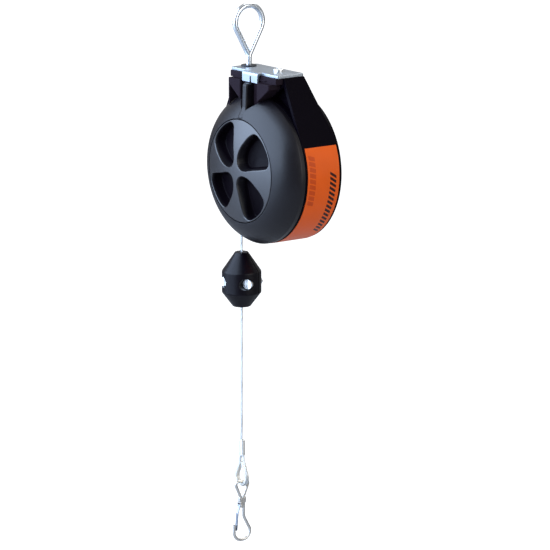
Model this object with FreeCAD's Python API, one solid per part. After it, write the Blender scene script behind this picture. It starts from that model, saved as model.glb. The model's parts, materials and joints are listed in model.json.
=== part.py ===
"""Tool balancer: a sprung rope drum in a round housing that hangs from a swivel eye.

The working frame has the drum's axis along Y through the origin. The knob faces -Y,
Z is up, and Y = 0 is the widest edge of the front cover. Each finished piece is moved
so that the row's origin lies under the crown of the suspension eye, where a hook bears.
"""
import FreeCAD, Part
import math
import os

Vec = FreeCAD.Vector
X_DIR = Vec(1, 0, 0)
Y_DIR = Vec(0, 1, 0)
Z_DIR = Vec(0, 0, 1)

# ---- fits --------------------------------------------------------------------------
RUN_GAP = 0.05          # radial, a shaft in its bush
SEAT_GAP = 0.02         # radial, a pressed or screwed piece in its seat
BODY_GAP = 0.3          # between pieces that move past each other
JOIN_GAP = 0.3          # the visible line between two fixed mouldings

# ---- housing -----------------------------------------------------------------------
HOUSING_R = 60.0
WALL = 3.0
SEAM_Y = 4.0            # where the rear shell meets the cover
BACK_Y = 40.5
BACK_EDGE_R = 2.5
NECK_HALF = 31.0
NECK_RISE = 16.2        # from the barrel's crown to the top of the neck
NECK_BACK_Y = 24.0      # back of the neck at its top
NECK_SLOPE_Z = 21.0     # where the sloping back of the neck starts
POCKET_FLOOR_Y = 10.0
POCKET_WALL = 2.5
LIP_DEPTH = 2.5
LIP_WALL = 1.6
BACK_BOSS_R = 12.0
BACK_BOSS_RISE = 1.5

# ---- front cover and neck cover ----------------------------------------------------
DOME_Y = -16.2          # front of the cover at the knob ring
DOME_BULGE = 2.6        # how far the crown stands out from a straight cone
RECESS_FLOOR_Y = -6.0
NOTCH_FOOT = 5.3        # from the knob's ring to the apex of the notch
NOTCH_SLOPE = 1.346     # half width of the notch per height above its apex
CHEEK = 2.5
FACE_Y = -8.0           # front of the neck cover
FACE_HALF = 26.7
FACE_EDGE_R = 1.2
FACE_SIDE_T = 2.0       # the side wall on the eye's side
CHANNEL_HALF = 10.75    # the upright channel that takes the tab and the rib
BAR_FRONT_Y = -3.2      # the bar along the top of the neck cover
BAR_HEIGHT = 5.0
BAR_INSET = 1.0
RIB_HALF = 2.75
RIB_DROP = 6.4          # from the top of the neck to the top of the rib
RIB_FRONT_Y = -11.8
RIB_PROUD = 0.8
RIB_FOOT_GAP = 0.2      # from the knob's ring to the rib
RIB_BEND = 3.0          # from the notch's apex to the bend of the rib's front
RIB_EDGE_R = 1.4
LEDGE_START = 9.5
LEDGE_LENGTH = 8.0
LEDGE_DROP = 2.6        # from the top of the neck to the ledge
LEDGE_T = 1.2
LEDGE_RISE = 0.8

# ---- knob --------------------------------------------------------------------------
KNOB_R = 41.2
KNOB_GAP = 0.5          # radial, between the knob and the ring of the cover
KNOB_CROWN = 5.2
KNOB_WALL = 2.6
KNOB_HUB_R = 10.0
KNOB_BULGE_AT = 0.55    # share of the radius at which the crown's height is given
KNOB_BULGE = 0.71       # share of the crown's height there
POCKETS = 4
POCKET_TILT = -3.0      # degrees, how far the lobes are turned from upright
POCKET_DEPTH_Y = -9.2
POCKET_POINTS = ((3.2, 3.4), (36.5, 7.5), (33.0, 20.5), (17.5, 35.0), (3.0, 20.0))
POCKET_RADII = (7.0, 3.5, 9.0, 8.0, 14.0)
POCKET_DRAFT = 1.5      # mm that each pocket narrows towards its floor
KNOB_ROOF = 1.6         # plastic behind a pocket's floor

# ---- arbor, ratchet and bushes -----------------------------------------------------
ARBOR_R = 6.0
ARBOR_FRONT_Y = -15.0
ARBOR_SQUARE = 8.0
SQUARE_END_Y = 1.8
ARBOR_SLOT = 1.4
BUSH_WALL = 2.0
BOSS_WALL = 2.5
RATCHET_R = 20.0
RATCHET_TEETH = 24      # a multiple of four
TOOTH_DEPTH = 1.8
RATCHET_T = 3.5
PAWL_T = 1.0
PAWL_WIDTH = 3.0
PAWL_SCREW_X = 30.0
TOOTH_BACK = 0.12       # share of a tooth's pitch that its steep side takes
WHEEL_HOLES = 6
WHEEL_HOLE_R = 3.0
WHEEL_HOLE_PCR = 12.5
PAWL_HALF = 4.0         # half the side of the pawl's square foot
PAWL_ROOT = 3.0         # height of the leaf's root above the foot's middle
KNOB_PIN_R = 1.25
KNOB_PIN_Y = -9.0
KNOB_PIN_SHORT = 0.5    # how far the pin's ends lie inside the hub
CLIP_T = 1.2
CLIP_WALL = 2.5
CLIP_MOUTH = 3.0
SHAFT_END_GAP = 1.0     # from the arbor's end to the back of the shell

# ---- drum and mainspring -----------------------------------------------------------
ROPE_R = 1.0
ROPE_Y = 11.0           # plane in which the rope leaves the drum
DRUM_PITCH_R = 34.7
ROPE_TURNS = 8
ROPE_PITCH = 2.3
RIM_T = 3.0
FLANGE_R = 38.5
FLANGE_T = 1.8
DRUM_HUB_LENGTH = 3.3
SPRING_T = 0.5
SPRING_COILS = 13
SPRING_END_GAP = 1.2
SPRING_OUTER_GAP = 3.4  # from the outer coil to the drum's rim
LID_T = 1.5
LID_SEAT = 1.5          # how far the lid laps over the drum's rim
LID_HUB_RISE = 1.0
LID_EAR_R = 3.0
LID_EAR_DEPTH = 0.9
LID_EAR_INSET = 1.0     # from the spring's room to the middle of an ear
LID_SCREWS = 3
LID_SCREW_R = 1.25
LID_HEAD_R = 2.2
LID_HEAD_T = 1.2

# ---- suspension --------------------------------------------------------------------
EYE_INSET = 6.5         # from the end of the plate to the eye's axis
PLATE_T = 2.4
PLATE_FRONT_Y = -2.0
TAB_HALF = 10.0
TAB_FRONT_Y = -6.6
TAB_DROP = 6.0          # from the top of the neck to the foot of the tab
TAB_SLOT = 1.6
TAB_SLOT_ROOT = 1.0     # from the top of the neck to the root of the slot
PLATE_CORNER_R = 2.0
EYE_WIRE_R = 2.3
EYE_LOOP_R = 13.2       # crown radius at the wire's centre
EYE_SHANK_RISE = 8.6    # from the plate to where the loop opens
EYE_RISE = 48.7         # from the plate to the wire's centre at the crown
EYE_BEND_R = 6.0
EYE_TIP_SIDE = 0.7      # from the shank's axis to the middle of the welded tip
EYE_TIP_RISE = 1.4
NUT_R = 4.5
NUT_T = 4.0
NUT_CAVITY_R = 5.5
WASHER_R = 6.2
WASHER_T = 1.0
BOLT_SIDE = 12.0
BOLT_Y = 13.0
BOLT_R = 2.5
BOLT_HEAD_R = 4.2
BOLT_HEAD_T = 2.2
BOLT_LENGTH = 14.0
BOLT_HEAD_EDGE_R = 0.8
BOLT_SLOT = 0.8
BOLT_SLOT_DEPTH = 0.9

# ---- fasteners of the housing ------------------------------------------------------
COVER_SCREW_ANGLES = (50, 130, -20, -95, -170)
COVER_SCREW_INSET = 9.5  # from the barrel's radius to the screws
COVER_SCREW_R = 1.7
COVER_HEAD_R = 3.2
COVER_HEAD_T = 2.2
COVER_BOSS_R = 4.2
COVER_SCREW_TIP_Y = 0.5
CROSS_REACH = 2.0
CROSS_SLOT = 0.7
CROSS_DEPTH = 1.2

# ---- label -------------------------------------------------------------------------
LABEL_START = -97.0     # degrees from +X towards +Z
LABEL_NECK_GAP = 1.7    # degrees from the foot of the neck's flank to the label
LABEL_FRONT_Y = 5.8
LABEL_BACK_Y = 36.8
LABEL_T = 0.25

# ---- rope, guide and stop ----------------------------------------------------------
GUIDE_REACH_IN = 7.0    # from the barrel's skin to the guide's inner end
GUIDE_LENGTH_OUT = 8.5  # from the barrel's skin to the guide's mouth
GUIDE_R = 4.0
GUIDE_TIP_R = 3.2
GUIDE_COLLAR_R = 5.4
GUIDE_COLLAR_T = 2.0
GUIDE_BORE_R = 1.6
GUIDE_FUNNEL = 1.6      # how much wider the bore is at its inner end
GUIDE_FUNNEL_DEPTH = 2.5
GUIDE_LIP = 0.4
GUIDE_LIP_DEPTH = 1.5
GUIDE_BOSS_R = 5.9
GUIDE_BOSS_DROP = 4.0   # from the barrel's skin to the foot of its boss
INNER_ROPE_TOP_Z = -14.0
ROPE_SHOWING = 16.7     # from the guide's mouth to the stop when the rope is in
STOP_CONE_TOP = 15.6
STOP_BAND = 17.4
STOP_CONE_LOW = 11.6
STOP_R = 16.0
STOP_TOP_R = 5.3
STOP_LOW_R = 7.2
STOP_SPLIT = 0.5
STOP_TURN = 22.0        # degrees that the screws are turned from -Y towards +X
STOP_SCREW_SIDE = 10.6
STOP_SCREW_R = 1.9
STOP_HEAD_R = 4.1
STOP_HEAD_T = 2.6
STOP_HEAD_SEAT = 6.4    # from the split to the underside of the head
STOP_HEAD_GAP = 0.35    # radial, round a head in its counterbore
STOP_SLOT = 1.0
STOP_SLOT_DEPTH = 1.2
STOP_EDGE_R = 2.5       # rounding where the band meets the cones
STOP_END_EDGE_R = 0.8
STOP_NUT_R = 3.9
STOP_NUT_T = 3.0
STOP_NUT_GAP = 0.1

# ---- rope end and hook -------------------------------------------------------------
ROPE_BELOW_STOP = 111.7  # from the stop to the ferrule
FERRULE_LENGTH = 14.0
FERRULE_WALL = 0.9
FERRULE_MOUTH = 1.2       # how far the single rope enters the ferrule
ROPE_SPREAD = 1.1       # half the distance between the two ropes in the ferrule
ROPE_EYE_LENGTH = 24.0  # from the ferrule to the rope's far edge
ROPE_EYE_R = 7.2
ROPE_EYE_MOUTH_R = 5.0  # bend where the two ropes part
FERRULE_SHORT = 1.2     # from the parting of the ropes up to the ferrule's foot
THIMBLE_WALL = 0.8
THIMBLE_HALF_T = 1.8
THIMBLE_LIP = 0.2       # how far the thimble reaches past the rope's centre line
THIMBLE_OPEN = 4.5      # from the parting of the ropes down to the thimble's tips
HOOK_WIRE_R = 1.25
HOOK_EYE_HALF = 7.4
HOOK_EYE_CORNER_R = 2.4
HOOK_NECK_DROP = 15.8   # from the bar to the collar's middle
HOOK_NECK_HALF = 1.7
HOOK_NECK_STRAIGHT = 0.8
HOOK_COLLAR_LENGTH = 4.4
HOOK_COLLAR_WALL = 0.7
HOOK_SPINE_DROP = 30.0
HOOK_BULGE_HALF = 8.0
HOOK_BULGE_DROP = 41.5
HOOK_END_DROP = 49.4
HOOK_END_INSET = 0.6
HOOK_BEND_R = 6.9
HOOK_NECK_BEND_R = 3.0
HOOK_SPINE_BEND_R = 8.0
HOOK_BULGE_BEND_R = 3.0
HOOK_NOSE_DROP = 36.0
HOOK_NOSE_INSET = 0.2
GATE_PIVOT_DROP = 20.4
GATE_T = 0.8
GATE_WIDTH = 2.6
GATE_EYE_R = 1.5
GATE_PIN_R = 0.7
GATE_SIDE_GAP = 0.15    # between the gate and each ear
GATE_PIN_HEAD_T = 0.6
GATE_PIN_HEAD_RISE = 0.5
GATE_EAR_LAP = 0.6      # how far an ear laps over the collar
GATE_KNEE_RISE = 0.3
GATE_KNEE = (-4.7, 26.4)
GATE_TIP = (-6.0, 40.9)

# ---- worked out from the sizes above ----------------------------------------------
KNOB_SEAT_R = KNOB_R + KNOB_GAP
NECK_TOP = HOUSING_R + NECK_RISE
EYE_SIDE = NECK_HALF - EYE_INSET
BAR_LOW_Z = NECK_TOP - BAR_HEIGHT
NOTCH_APEX_Z = KNOB_SEAT_R + NOTCH_FOOT
CHANNEL_Y = TAB_FRONT_Y + PLATE_T + SEAT_GAP
TAB_BOTTOM_Z = NECK_TOP - TAB_DROP
RIB_TOP_Z = NECK_TOP - RIB_DROP
PLATE_TOP = NECK_TOP + PLATE_T
EYE_CROWN_Z = PLATE_TOP + EYE_RISE
ORIGIN = Vec(-EYE_SIDE, ROPE_Y, EYE_CROWN_Z - EYE_WIRE_R)
DRUM_FRONT_Y = ROPE_Y - ROPE_R - BODY_GAP - FLANGE_T
DRUM_BACK_Y = ROPE_Y + (ROPE_TURNS - 1) * ROPE_PITCH + ROPE_R + BODY_GAP
DRUM_RIM_R = DRUM_PITCH_R - ROPE_R
SPRING_ROOM_R = DRUM_RIM_R - RIM_T
SHELL_INNER_R = HOUSING_R - WALL
BUSH_R = ARBOR_R + RUN_GAP + BUSH_WALL
BOSS_R = BUSH_R + SEAT_GAP + BOSS_WALL
RATCHET_Y = RECESS_FLOOR_Y + WALL + BODY_GAP
GUIDE_SKIN_Z = -math.sqrt(HOUSING_R ** 2 - DRUM_PITCH_R ** 2)
GUIDE_TOP_Z = GUIDE_SKIN_Z + GUIDE_REACH_IN
GUIDE_BOSS_Z = GUIDE_SKIN_Z - GUIDE_BOSS_DROP
GUIDE_END_Z = GUIDE_SKIN_Z - GUIDE_LENGTH_OUT
COVER_SCREW_PCR = HOUSING_R - COVER_SCREW_INSET
STOP_TOP_Z = GUIDE_END_Z - ROPE_SHOWING
STOP_BOTTOM_Z = STOP_TOP_Z - STOP_CONE_TOP - STOP_BAND - STOP_CONE_LOW
STOP_MIDDLE_Z = STOP_TOP_Z - STOP_CONE_TOP - STOP_BAND / 2
FERRULE_TOP_Z = STOP_BOTTOM_Z - ROPE_BELOW_STOP
ROPE_EYE_TOP_Z = FERRULE_TOP_Z - FERRULE_LENGTH
ROPE_EYE_END_Z = ROPE_EYE_TOP_Z - ROPE_EYE_LENGTH
HOOK_BAR_Z = ROPE_EYE_END_Z + ROPE_R + THIMBLE_WALL + HOOK_WIRE_R + SEAT_GAP + RUN_GAP
ROPE_LINE = Vec(-DRUM_PITCH_R, ROPE_Y, 0)


# ---- general shapes ----------------------------------------------------------------
def rounded_wire(points, radii, closed):
    """A wire through the points with a tangent arc of the given radius at each corner."""
    count = len(points)
    corners = []
    for i, point in enumerate(points):
        if radii[i] == 0:
            corners.append((point, None, point))
            continue
        before = (points[i - 1] - point).normalize()
        after = (points[(i + 1) % count] - point).normalize()
        half = before.getAngle(after) / 2
        middle = (before + after).normalize()
        reach = radii[i] / math.tan(half)
        centre = point + middle * (radii[i] / math.sin(half))
        corners.append((point + before * reach, centre - middle * radii[i], point + after * reach))
    edges = []
    for i, (start, crest, end) in enumerate(corners):
        if crest is not None:
            edges.append(Part.Arc(start, crest, end).toShape())
        following = corners[(i + 1) % count][0]
        if (closed or i < count - 1) and (following - end).Length > 1e-6:
            edges.append(Part.LineSegment(end, following).toShape())
    return Part.Wire(edges)


def outline_xz(points, radii, y):
    """A face in the plane Y = y from (x, z) points with rounded corners."""
    corners = [Vec(x, y, z) for x, z in points]
    return Part.Face(rounded_wire(corners, radii, True))


def prism_y(points, y0, y1, radii=None):
    """An outline in X and Z, extruded from y0 to y1."""
    return outline_xz(points, radii or [0] * len(points), y0).extrude(Y_DIR * (y1 - y0))


def prism_x(points, half, radii=None):
    """An outline in Y and Z, extruded to both sides of X = 0."""
    corners = [Vec(-half, y, z) for y, z in points]
    wire = rounded_wire(corners, radii or [0] * len(points), True)
    return Part.Face(wire).extrude(X_DIR * (2 * half))


def turned(points, radii=None):
    """A (radius, y) outline turned once round the drum's axis."""
    corners = [Vec(r, y, 0) for r, y in points]
    wire = rounded_wire(corners, radii or [0] * len(points), True)
    return Part.Face(wire).revolve(Vec(0, 0, 0), Y_DIR, 360)


def disc(radius, y0, y1, x=0.0, z=0.0):
    """A cylinder along Y."""
    return Part.makeCylinder(radius, y1 - y0, Vec(x, y0, z), Y_DIR)


def tube_ring(outer, inner, y0, y1, x=0.0, z=0.0):
    """A plain bush along Y."""
    return disc(outer, y0, y1, x, z).cut(disc(inner, y0, y1, x, z))


def post(radius, z0, z1, x, y):
    """A cylinder along Z."""
    return Part.makeCylinder(radius, z1 - z0, Vec(x, y, z0), Z_DIR)


def wire_rod(path, radius, start, direction):
    """A round rod that follows a path."""
    section = Part.Wire(Part.makeCircle(radius, start, direction))
    return path.makePipeShell([section], True, False)


def box_between(x0, x1, y0, y1, z0, z1):
    """A block from its lowest and highest corners."""
    return Part.makeBox(x1 - x0, y1 - y0, z1 - z0, Vec(x0, y0, z0))


def polar(radius, degrees):
    """The (x, z) point at an angle from +X towards +Z."""
    return radius * math.cos(math.radians(degrees)), radius * math.sin(math.radians(degrees))


def spun(shape, degrees):
    """A copy turned about the drum's axis, from +X towards +Z."""
    copy = shape.copy()
    copy.rotate(Vec(0, 0, 0), Y_DIR, -degrees)
    return copy


def pattern(shape, angles):
    """Copies of a shape at several angles about the drum's axis, as one compound."""
    return Part.makeCompound([spun(shape, angle) for angle in angles])


def joined(first, *others):
    """One clean solid out of several that overlap or meet."""
    return first.fuse(list(others)).removeSplitter()


def loop_corner(height, radius):
    """Half the width of the corner whose sides, drawn from the apex, touch the crown."""
    return height * math.tan(math.asin(radius / (height - radius)))


# ---- housing outlines --------------------------------------------------------------
def neck_touch(inset):
    """The angle at which the neck's flank meets the barrel, and the barrel's radius there."""
    radius = HOUSING_R - inset
    half = NECK_HALF - inset
    top = NECK_TOP - inset
    return math.atan2(top, half) - math.acos(radius / math.hypot(half, top)), radius


def neck_outline(inset):
    """The neck seen from the front, drawn in from its flanks, top and circle."""
    half = NECK_HALF - inset
    top = NECK_TOP - inset
    touch, radius = neck_touch(inset)
    side = (radius * math.cos(touch), radius * math.sin(touch))
    return [(-side[0], side[1]), (-half, top), (half, top), side]


def notch_outline(spread, top):
    """The V above the knob that the neck cover fills; spread widens it all round."""
    apex = NOTCH_APEX_Z - spread * math.hypot(1, 1 / NOTCH_SLOPE)
    half = min((top - apex) * NOTCH_SLOPE, NECK_HALF - BAR_INSET)
    bend = apex + half / NOTCH_SLOPE
    return [(0, apex), (half, bend), (half, top), (-half, top), (-half, bend)]


def dome_profile(inset):
    """Corner points of the cover's crown, at a depth under its outer surface."""
    rim = HOUSING_R - inset
    ring = KNOB_SEAT_R + inset
    crest = Vec((HOUSING_R + KNOB_SEAT_R) / 2, DOME_Y / 2, 0)
    across = Vec(-DOME_Y, -(HOUSING_R - KNOB_SEAT_R), 0).normalize()
    crest = crest + across * (DOME_BULGE - inset)
    return rim, ring, crest


def dome_solid(inset, floor_y, back_y):
    """The crown as a solid turned about the drum's axis, with the knob's recess in it."""
    rim, ring, crest = dome_profile(inset)
    edge = Vec(rim, 0, 0)
    top = Vec(ring, DOME_Y + inset, 0)
    corners = [top, Vec(ring, floor_y, 0), Vec(0, floor_y, 0), Vec(0, back_y, 0),
               Vec(rim, back_y, 0), edge]
    sides = [Part.LineSegment(start, end) for start, end in zip(corners, corners[1:])]
    wire = Part.Wire([part.toShape() for part in [Part.Arc(edge, crest, top)] + sides])
    return Part.Face(wire).revolve(Vec(0, 0, 0), Y_DIR, 360)


# ---- housing pieces ----------------------------------------------------------------
def rear_shell():
    barrel = turned([(0, SEAM_Y), (HOUSING_R, SEAM_Y), (HOUSING_R, BACK_Y), (0, BACK_Y)],
                    [0, 0, BACK_EDGE_R, 0])
    slope = [(SEAM_Y, 0), (BACK_Y, 0), (BACK_Y, NECK_SLOPE_Z), (NECK_BACK_Y, NECK_TOP),
             (SEAM_Y, NECK_TOP)]
    neck = prism_y(neck_outline(0), SEAM_Y, BACK_Y).common(prism_x(slope, HOUSING_R))
    neck = neck.cut(disc(HOUSING_R - BACK_EDGE_R, SEAM_Y, BACK_Y))
    shell = joined(barrel, neck)
    floor_y = BACK_Y - WALL
    shell = shell.cut(disc(SHELL_INNER_R, SEAM_Y, floor_y))
    pockets = prism_y(neck_outline(POCKET_WALL), SEAM_Y, POCKET_FLOOR_Y)
    pockets = pockets.cut(disc(HOUSING_R, SEAM_Y, POCKET_FLOOR_Y))
    bridge = prism_y(notch_outline(0, NECK_TOP), SEAM_Y, POCKET_FLOOR_Y)
    bar = box_between(-NECK_HALF, NECK_HALF, SEAM_Y, POCKET_FLOOR_Y, BAR_LOW_Z, NECK_TOP)
    pockets = pockets.cut([bridge, bar])
    shell = shell.cut(pockets)
    shell = joined(shell, disc(BOSS_R, DRUM_BACK_Y + FLANGE_T + DRUM_HUB_LENGTH + BODY_GAP, floor_y),
                   disc(BACK_BOSS_R, BACK_Y - WALL, BACK_Y + BACK_BOSS_RISE), guide_boss(),
                   *screw_bosses(SEAM_Y + LIP_DEPTH + BODY_GAP, floor_y))
    bush_front = DRUM_BACK_Y + FLANGE_T + DRUM_HUB_LENGTH + BODY_GAP
    cuts = [disc(BUSH_R + SEAT_GAP, bush_front, BACK_Y - SEAT_GAP), guide_hole()]
    cuts += screw_holes(SEAM_Y, BACK_Y)
    cuts.append(post(NUT_CAVITY_R, NECK_TOP - NUT_T - BODY_GAP, NECK_TOP, -EYE_SIDE, ROPE_Y))
    cuts.append(post(BOLT_R + SEAT_GAP, NECK_TOP - BOLT_LENGTH, NECK_TOP, BOLT_SIDE, BOLT_Y))
    return shell.cut(cuts)


def guide_boss():
    """The thickened place at the foot of the shell that holds the rope guide."""
    boss = post(GUIDE_BOSS_R, GUIDE_BOSS_Z, 0, ROPE_LINE.x, ROPE_LINE.y)
    return boss.cut(disc(SHELL_INNER_R, 0, BACK_Y))


def guide_hole():
    return post(GUIDE_R + SEAT_GAP, GUIDE_END_Z, -SHELL_INNER_R / 2, ROPE_LINE.x, ROPE_LINE.y)


def screw_bosses(y0, y1):
    places = [polar(COVER_SCREW_PCR, angle) for angle in COVER_SCREW_ANGLES]
    return [disc(COVER_BOSS_R, y0, y1, x, z) for x, z in places]


def screw_holes(y0, y1):
    places = [polar(COVER_SCREW_PCR, angle) for angle in COVER_SCREW_ANGLES]
    shanks = [disc(COVER_SCREW_R + SEAT_GAP, y0, y1, x, z) for x, z in places]
    heads = [disc(COVER_HEAD_R + SEAT_GAP, y1 - COVER_HEAD_T, y1, x, z) for x, z in places]
    return shanks + heads


def front_cover():
    floor_y = RECESS_FLOOR_Y + WALL
    whole = dome_solid(0, RECESS_FLOOR_Y, SEAM_Y - JOIN_GAP)
    hollow = dome_solid(WALL, floor_y, SEAM_Y)
    cheeks = whole.common(prism_y(notch_outline(CHEEK, NECK_TOP), DOME_Y, SEAM_Y - JOIN_GAP))
    lip_r = SHELL_INNER_R - SEAT_GAP
    lip = tube_ring(lip_r, lip_r - LIP_WALL, 0, SEAM_Y + LIP_DEPTH)
    bosses = [boss.common(whole) for boss in screw_bosses(DOME_Y, SEAM_Y - JOIN_GAP)]
    posts = [disc(COVER_BOSS_R, 0, SEAM_Y + LIP_DEPTH, *polar(COVER_SCREW_PCR, angle))
             for angle in COVER_SCREW_ANGLES]
    cover = joined(whole.cut(hollow), lip, cheeks, *bosses, *posts)
    places = [polar(COVER_SCREW_PCR, angle) for angle in COVER_SCREW_ANGLES]
    cuts = [prism_y(notch_outline(0, NECK_TOP), 2 * DOME_Y, SEAM_Y + LIP_DEPTH),
            disc(BUSH_R + SEAT_GAP, RECESS_FLOOR_Y, floor_y)]
    cuts += [disc(COVER_SCREW_R + SEAT_GAP, COVER_SCREW_TIP_Y, SEAM_Y + LIP_DEPTH, x, z)
             for x, z in places]
    cuts.append(disc(LID_SCREW_R + SEAT_GAP, floor_y - PAWL_T, floor_y, PAWL_SCREW_X))
    return joined(cover.cut(cuts), rib())


def rib():
    """The upright rib that runs from the knob ring to the tab of the plate."""
    foot_z = KNOB_SEAT_R + RIB_FOOT_GAP
    back_y = CHANNEL_Y - JOIN_GAP
    outline = [(DOME_Y - RIB_PROUD, foot_z), (RIB_FRONT_Y - RIB_PROUD, NOTCH_APEX_Z + RIB_BEND),
               (RIB_FRONT_Y, RIB_TOP_Z), (back_y, RIB_TOP_Z), (back_y, NOTCH_APEX_Z),
               (RECESS_FLOOR_Y, foot_z)]
    body = prism_x(outline, RIB_HALF, [1.0, 6.0, 2.0, 0, 0, 0])
    front = [edge for edge in body.Edges if abs(edge.CenterOfMass.x) > RIB_HALF - SEAT_GAP
             and edge.BoundBox.YMax < RECESS_FLOOR_Y - RIB_EDGE_R]
    return body.makeFillet(RIB_EDGE_R, front)


def neck_cover():
    """A front with a channel for the tab and the rib, a side wall, and a bar on top."""
    outline = [(FACE_HALF, SEAM_Y), (FACE_HALF, FACE_Y), (CHANNEL_HALF, FACE_Y),
               (CHANNEL_HALF, CHANNEL_Y), (-CHANNEL_HALF, CHANNEL_Y), (-CHANNEL_HALF, FACE_Y),
               (-FACE_HALF, FACE_Y), (-FACE_HALF, SEAM_Y)]
    corners = [Vec(x, y, KNOB_SEAT_R) for x, y in outline]
    radii = [0, FACE_EDGE_R, FACE_EDGE_R, 0, 0, FACE_EDGE_R, FACE_EDGE_R, 0]
    front = Part.Face(rounded_wire(corners, radii, True))
    front = front.extrude(Z_DIR * (BAR_LOW_Z - KNOB_SEAT_R))
    beside = box_between(FACE_SIDE_T - FACE_HALF, FACE_HALF, FACE_Y, SEAM_Y, KNOB_SEAT_R, BAR_LOW_Z)
    side = front.cut([beside, dome_solid(-JOIN_GAP, RECESS_FLOOR_Y, SEAM_Y)])
    front = front.common(prism_y(notch_outline(-JOIN_GAP, BAR_LOW_Z), FACE_Y, SEAM_Y))
    bar = box_between(BAR_INSET - NECK_HALF, NECK_HALF - BAR_INSET, BAR_FRONT_Y, SEAM_Y,
                      BAR_LOW_Z, NECK_TOP)
    ledge = box_between(LEDGE_START, LEDGE_START + LEDGE_LENGTH, BAR_FRONT_Y - LEDGE_RISE,
                        BAR_FRONT_Y, NECK_TOP - LEDGE_DROP - LEDGE_T, NECK_TOP - LEDGE_DROP)
    return joined(front, bar, side, ledge)


def label():
    band = Part.Face(rounded_wire([Vec(HOUSING_R + SEAT_GAP, LABEL_FRONT_Y, 0),
                                   Vec(HOUSING_R + LABEL_T, LABEL_FRONT_Y, 0),
                                   Vec(HOUSING_R + LABEL_T, LABEL_BACK_Y, 0),
                                   Vec(HOUSING_R + SEAT_GAP, LABEL_BACK_Y, 0)], [0] * 4, True))
    end = math.degrees(neck_touch(0)[0]) - LABEL_NECK_GAP
    return spun(band.revolve(Vec(0, 0, 0), Y_DIR, end - LABEL_START), end)


def cover_screws():
    x, z = COVER_SCREW_PCR, 0
    shank = disc(COVER_SCREW_R, COVER_SCREW_TIP_Y + SEAT_GAP, BACK_Y - SEAT_GAP, x, z)
    head = disc(COVER_HEAD_R, BACK_Y - COVER_HEAD_T, BACK_Y - SEAT_GAP, x, z)
    half = CROSS_SLOT / 2
    floor_y = BACK_Y - CROSS_DEPTH
    cross = [box_between(x - CROSS_REACH, x + CROSS_REACH, floor_y, BACK_Y, -half, half),
             box_between(x - half, x + half, floor_y, BACK_Y, -CROSS_REACH, CROSS_REACH)]
    return pattern(joined(shank, head).cut(cross), COVER_SCREW_ANGLES)


# ---- knob, arbor and ratchet -------------------------------------------------------
def knob_pocket():
    """One scooped finger pocket, wider at the front than at its floor."""
    middle_x = sum(x for x, z in POCKET_POINTS) / len(POCKET_POINTS)
    middle_z = sum(z for x, z in POCKET_POINTS) / len(POCKET_POINTS)
    reach = max(math.hypot(x - middle_x, z - middle_z) for x, z in POCKET_POINTS)
    scale = (reach - POCKET_DRAFT) / reach
    floor_points = [(middle_x + (x - middle_x) * scale, middle_z + (z - middle_z) * scale)
                    for x, z in POCKET_POINTS]
    front_y = DOME_Y - KNOB_CROWN - BODY_GAP
    mouth = [Vec(x, front_y, z) for x, z in POCKET_POINTS]
    floor_corners = [Vec(x, POCKET_DEPTH_Y, z) for x, z in floor_points]
    floor_radii = [radius * scale for radius in POCKET_RADII]
    wires = [rounded_wire(mouth, POCKET_RADII, True), rounded_wire(floor_corners, floor_radii, True)]
    return Part.makeLoft(wires, True, True)


def knob():
    crown_y = DOME_Y - KNOB_CROWN
    skirt_y = RECESS_FLOOR_Y - BODY_GAP
    edge = Vec(KNOB_R, DOME_Y, 0)
    crest = Vec(KNOB_R * KNOB_BULGE_AT, DOME_Y - KNOB_CROWN * KNOB_BULGE, 0)
    top = Vec(0, crown_y, 0)
    skin = [Part.Arc(edge, crest, top), Part.LineSegment(top, Vec(0, skirt_y, 0)),
            Part.LineSegment(Vec(0, skirt_y, 0), Vec(KNOB_R, skirt_y, 0)),
            Part.LineSegment(Vec(KNOB_R, skirt_y, 0), edge)]
    body = Part.Face(Part.Wire([part.toShape() for part in skin]))
    body = body.revolve(Vec(0, 0, 0), Y_DIR, 360)
    roof_y = POCKET_DEPTH_Y + KNOB_ROOF
    body = body.cut(tube_ring(KNOB_R - KNOB_WALL, KNOB_HUB_R, roof_y, skirt_y))
    quarter = 360 / POCKETS
    pocket = knob_pocket()
    body = body.cut([spun(pocket, POCKET_TILT + quarter * i) for i in range(POCKETS)])
    socket = ARBOR_SQUARE / 2 + SEAT_GAP
    body = body.cut(box_between(-socket, socket, ARBOR_FRONT_Y - SEAT_GAP, 0, -socket, socket))
    return body.cut(knob_pin_rod(KNOB_PIN_R + SEAT_GAP))


def knob_pin_rod(radius):
    """A cross pin through the knob's hub and the arbor's square."""
    reach = KNOB_HUB_R - KNOB_PIN_SHORT
    return Part.makeCylinder(radius, 2 * reach, Vec(-reach, KNOB_PIN_Y, 0), X_DIR)


def arbor():
    half = ARBOR_SQUARE / 2
    square = box_between(-half, half, ARBOR_FRONT_Y, SQUARE_END_Y, -half, half)
    shaft = disc(ARBOR_R, SQUARE_END_Y, BACK_Y - SHAFT_END_GAP)
    shaft = joined(shaft, square.common(disc(ARBOR_R - SEAT_GAP, ARBOR_FRONT_Y, SQUARE_END_Y)))
    journal = disc(ARBOR_R, RECESS_FLOOR_Y, RECESS_FLOOR_Y + WALL)
    shaft = joined(shaft, journal)
    room = spring_room()
    slot = box_between(-ARBOR_SLOT / 2, ARBOR_SLOT / 2, room[0], room[1], -ARBOR_R, 0)
    return shaft.cut([slot, knob_pin_rod(KNOB_PIN_R + SEAT_GAP)])


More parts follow.
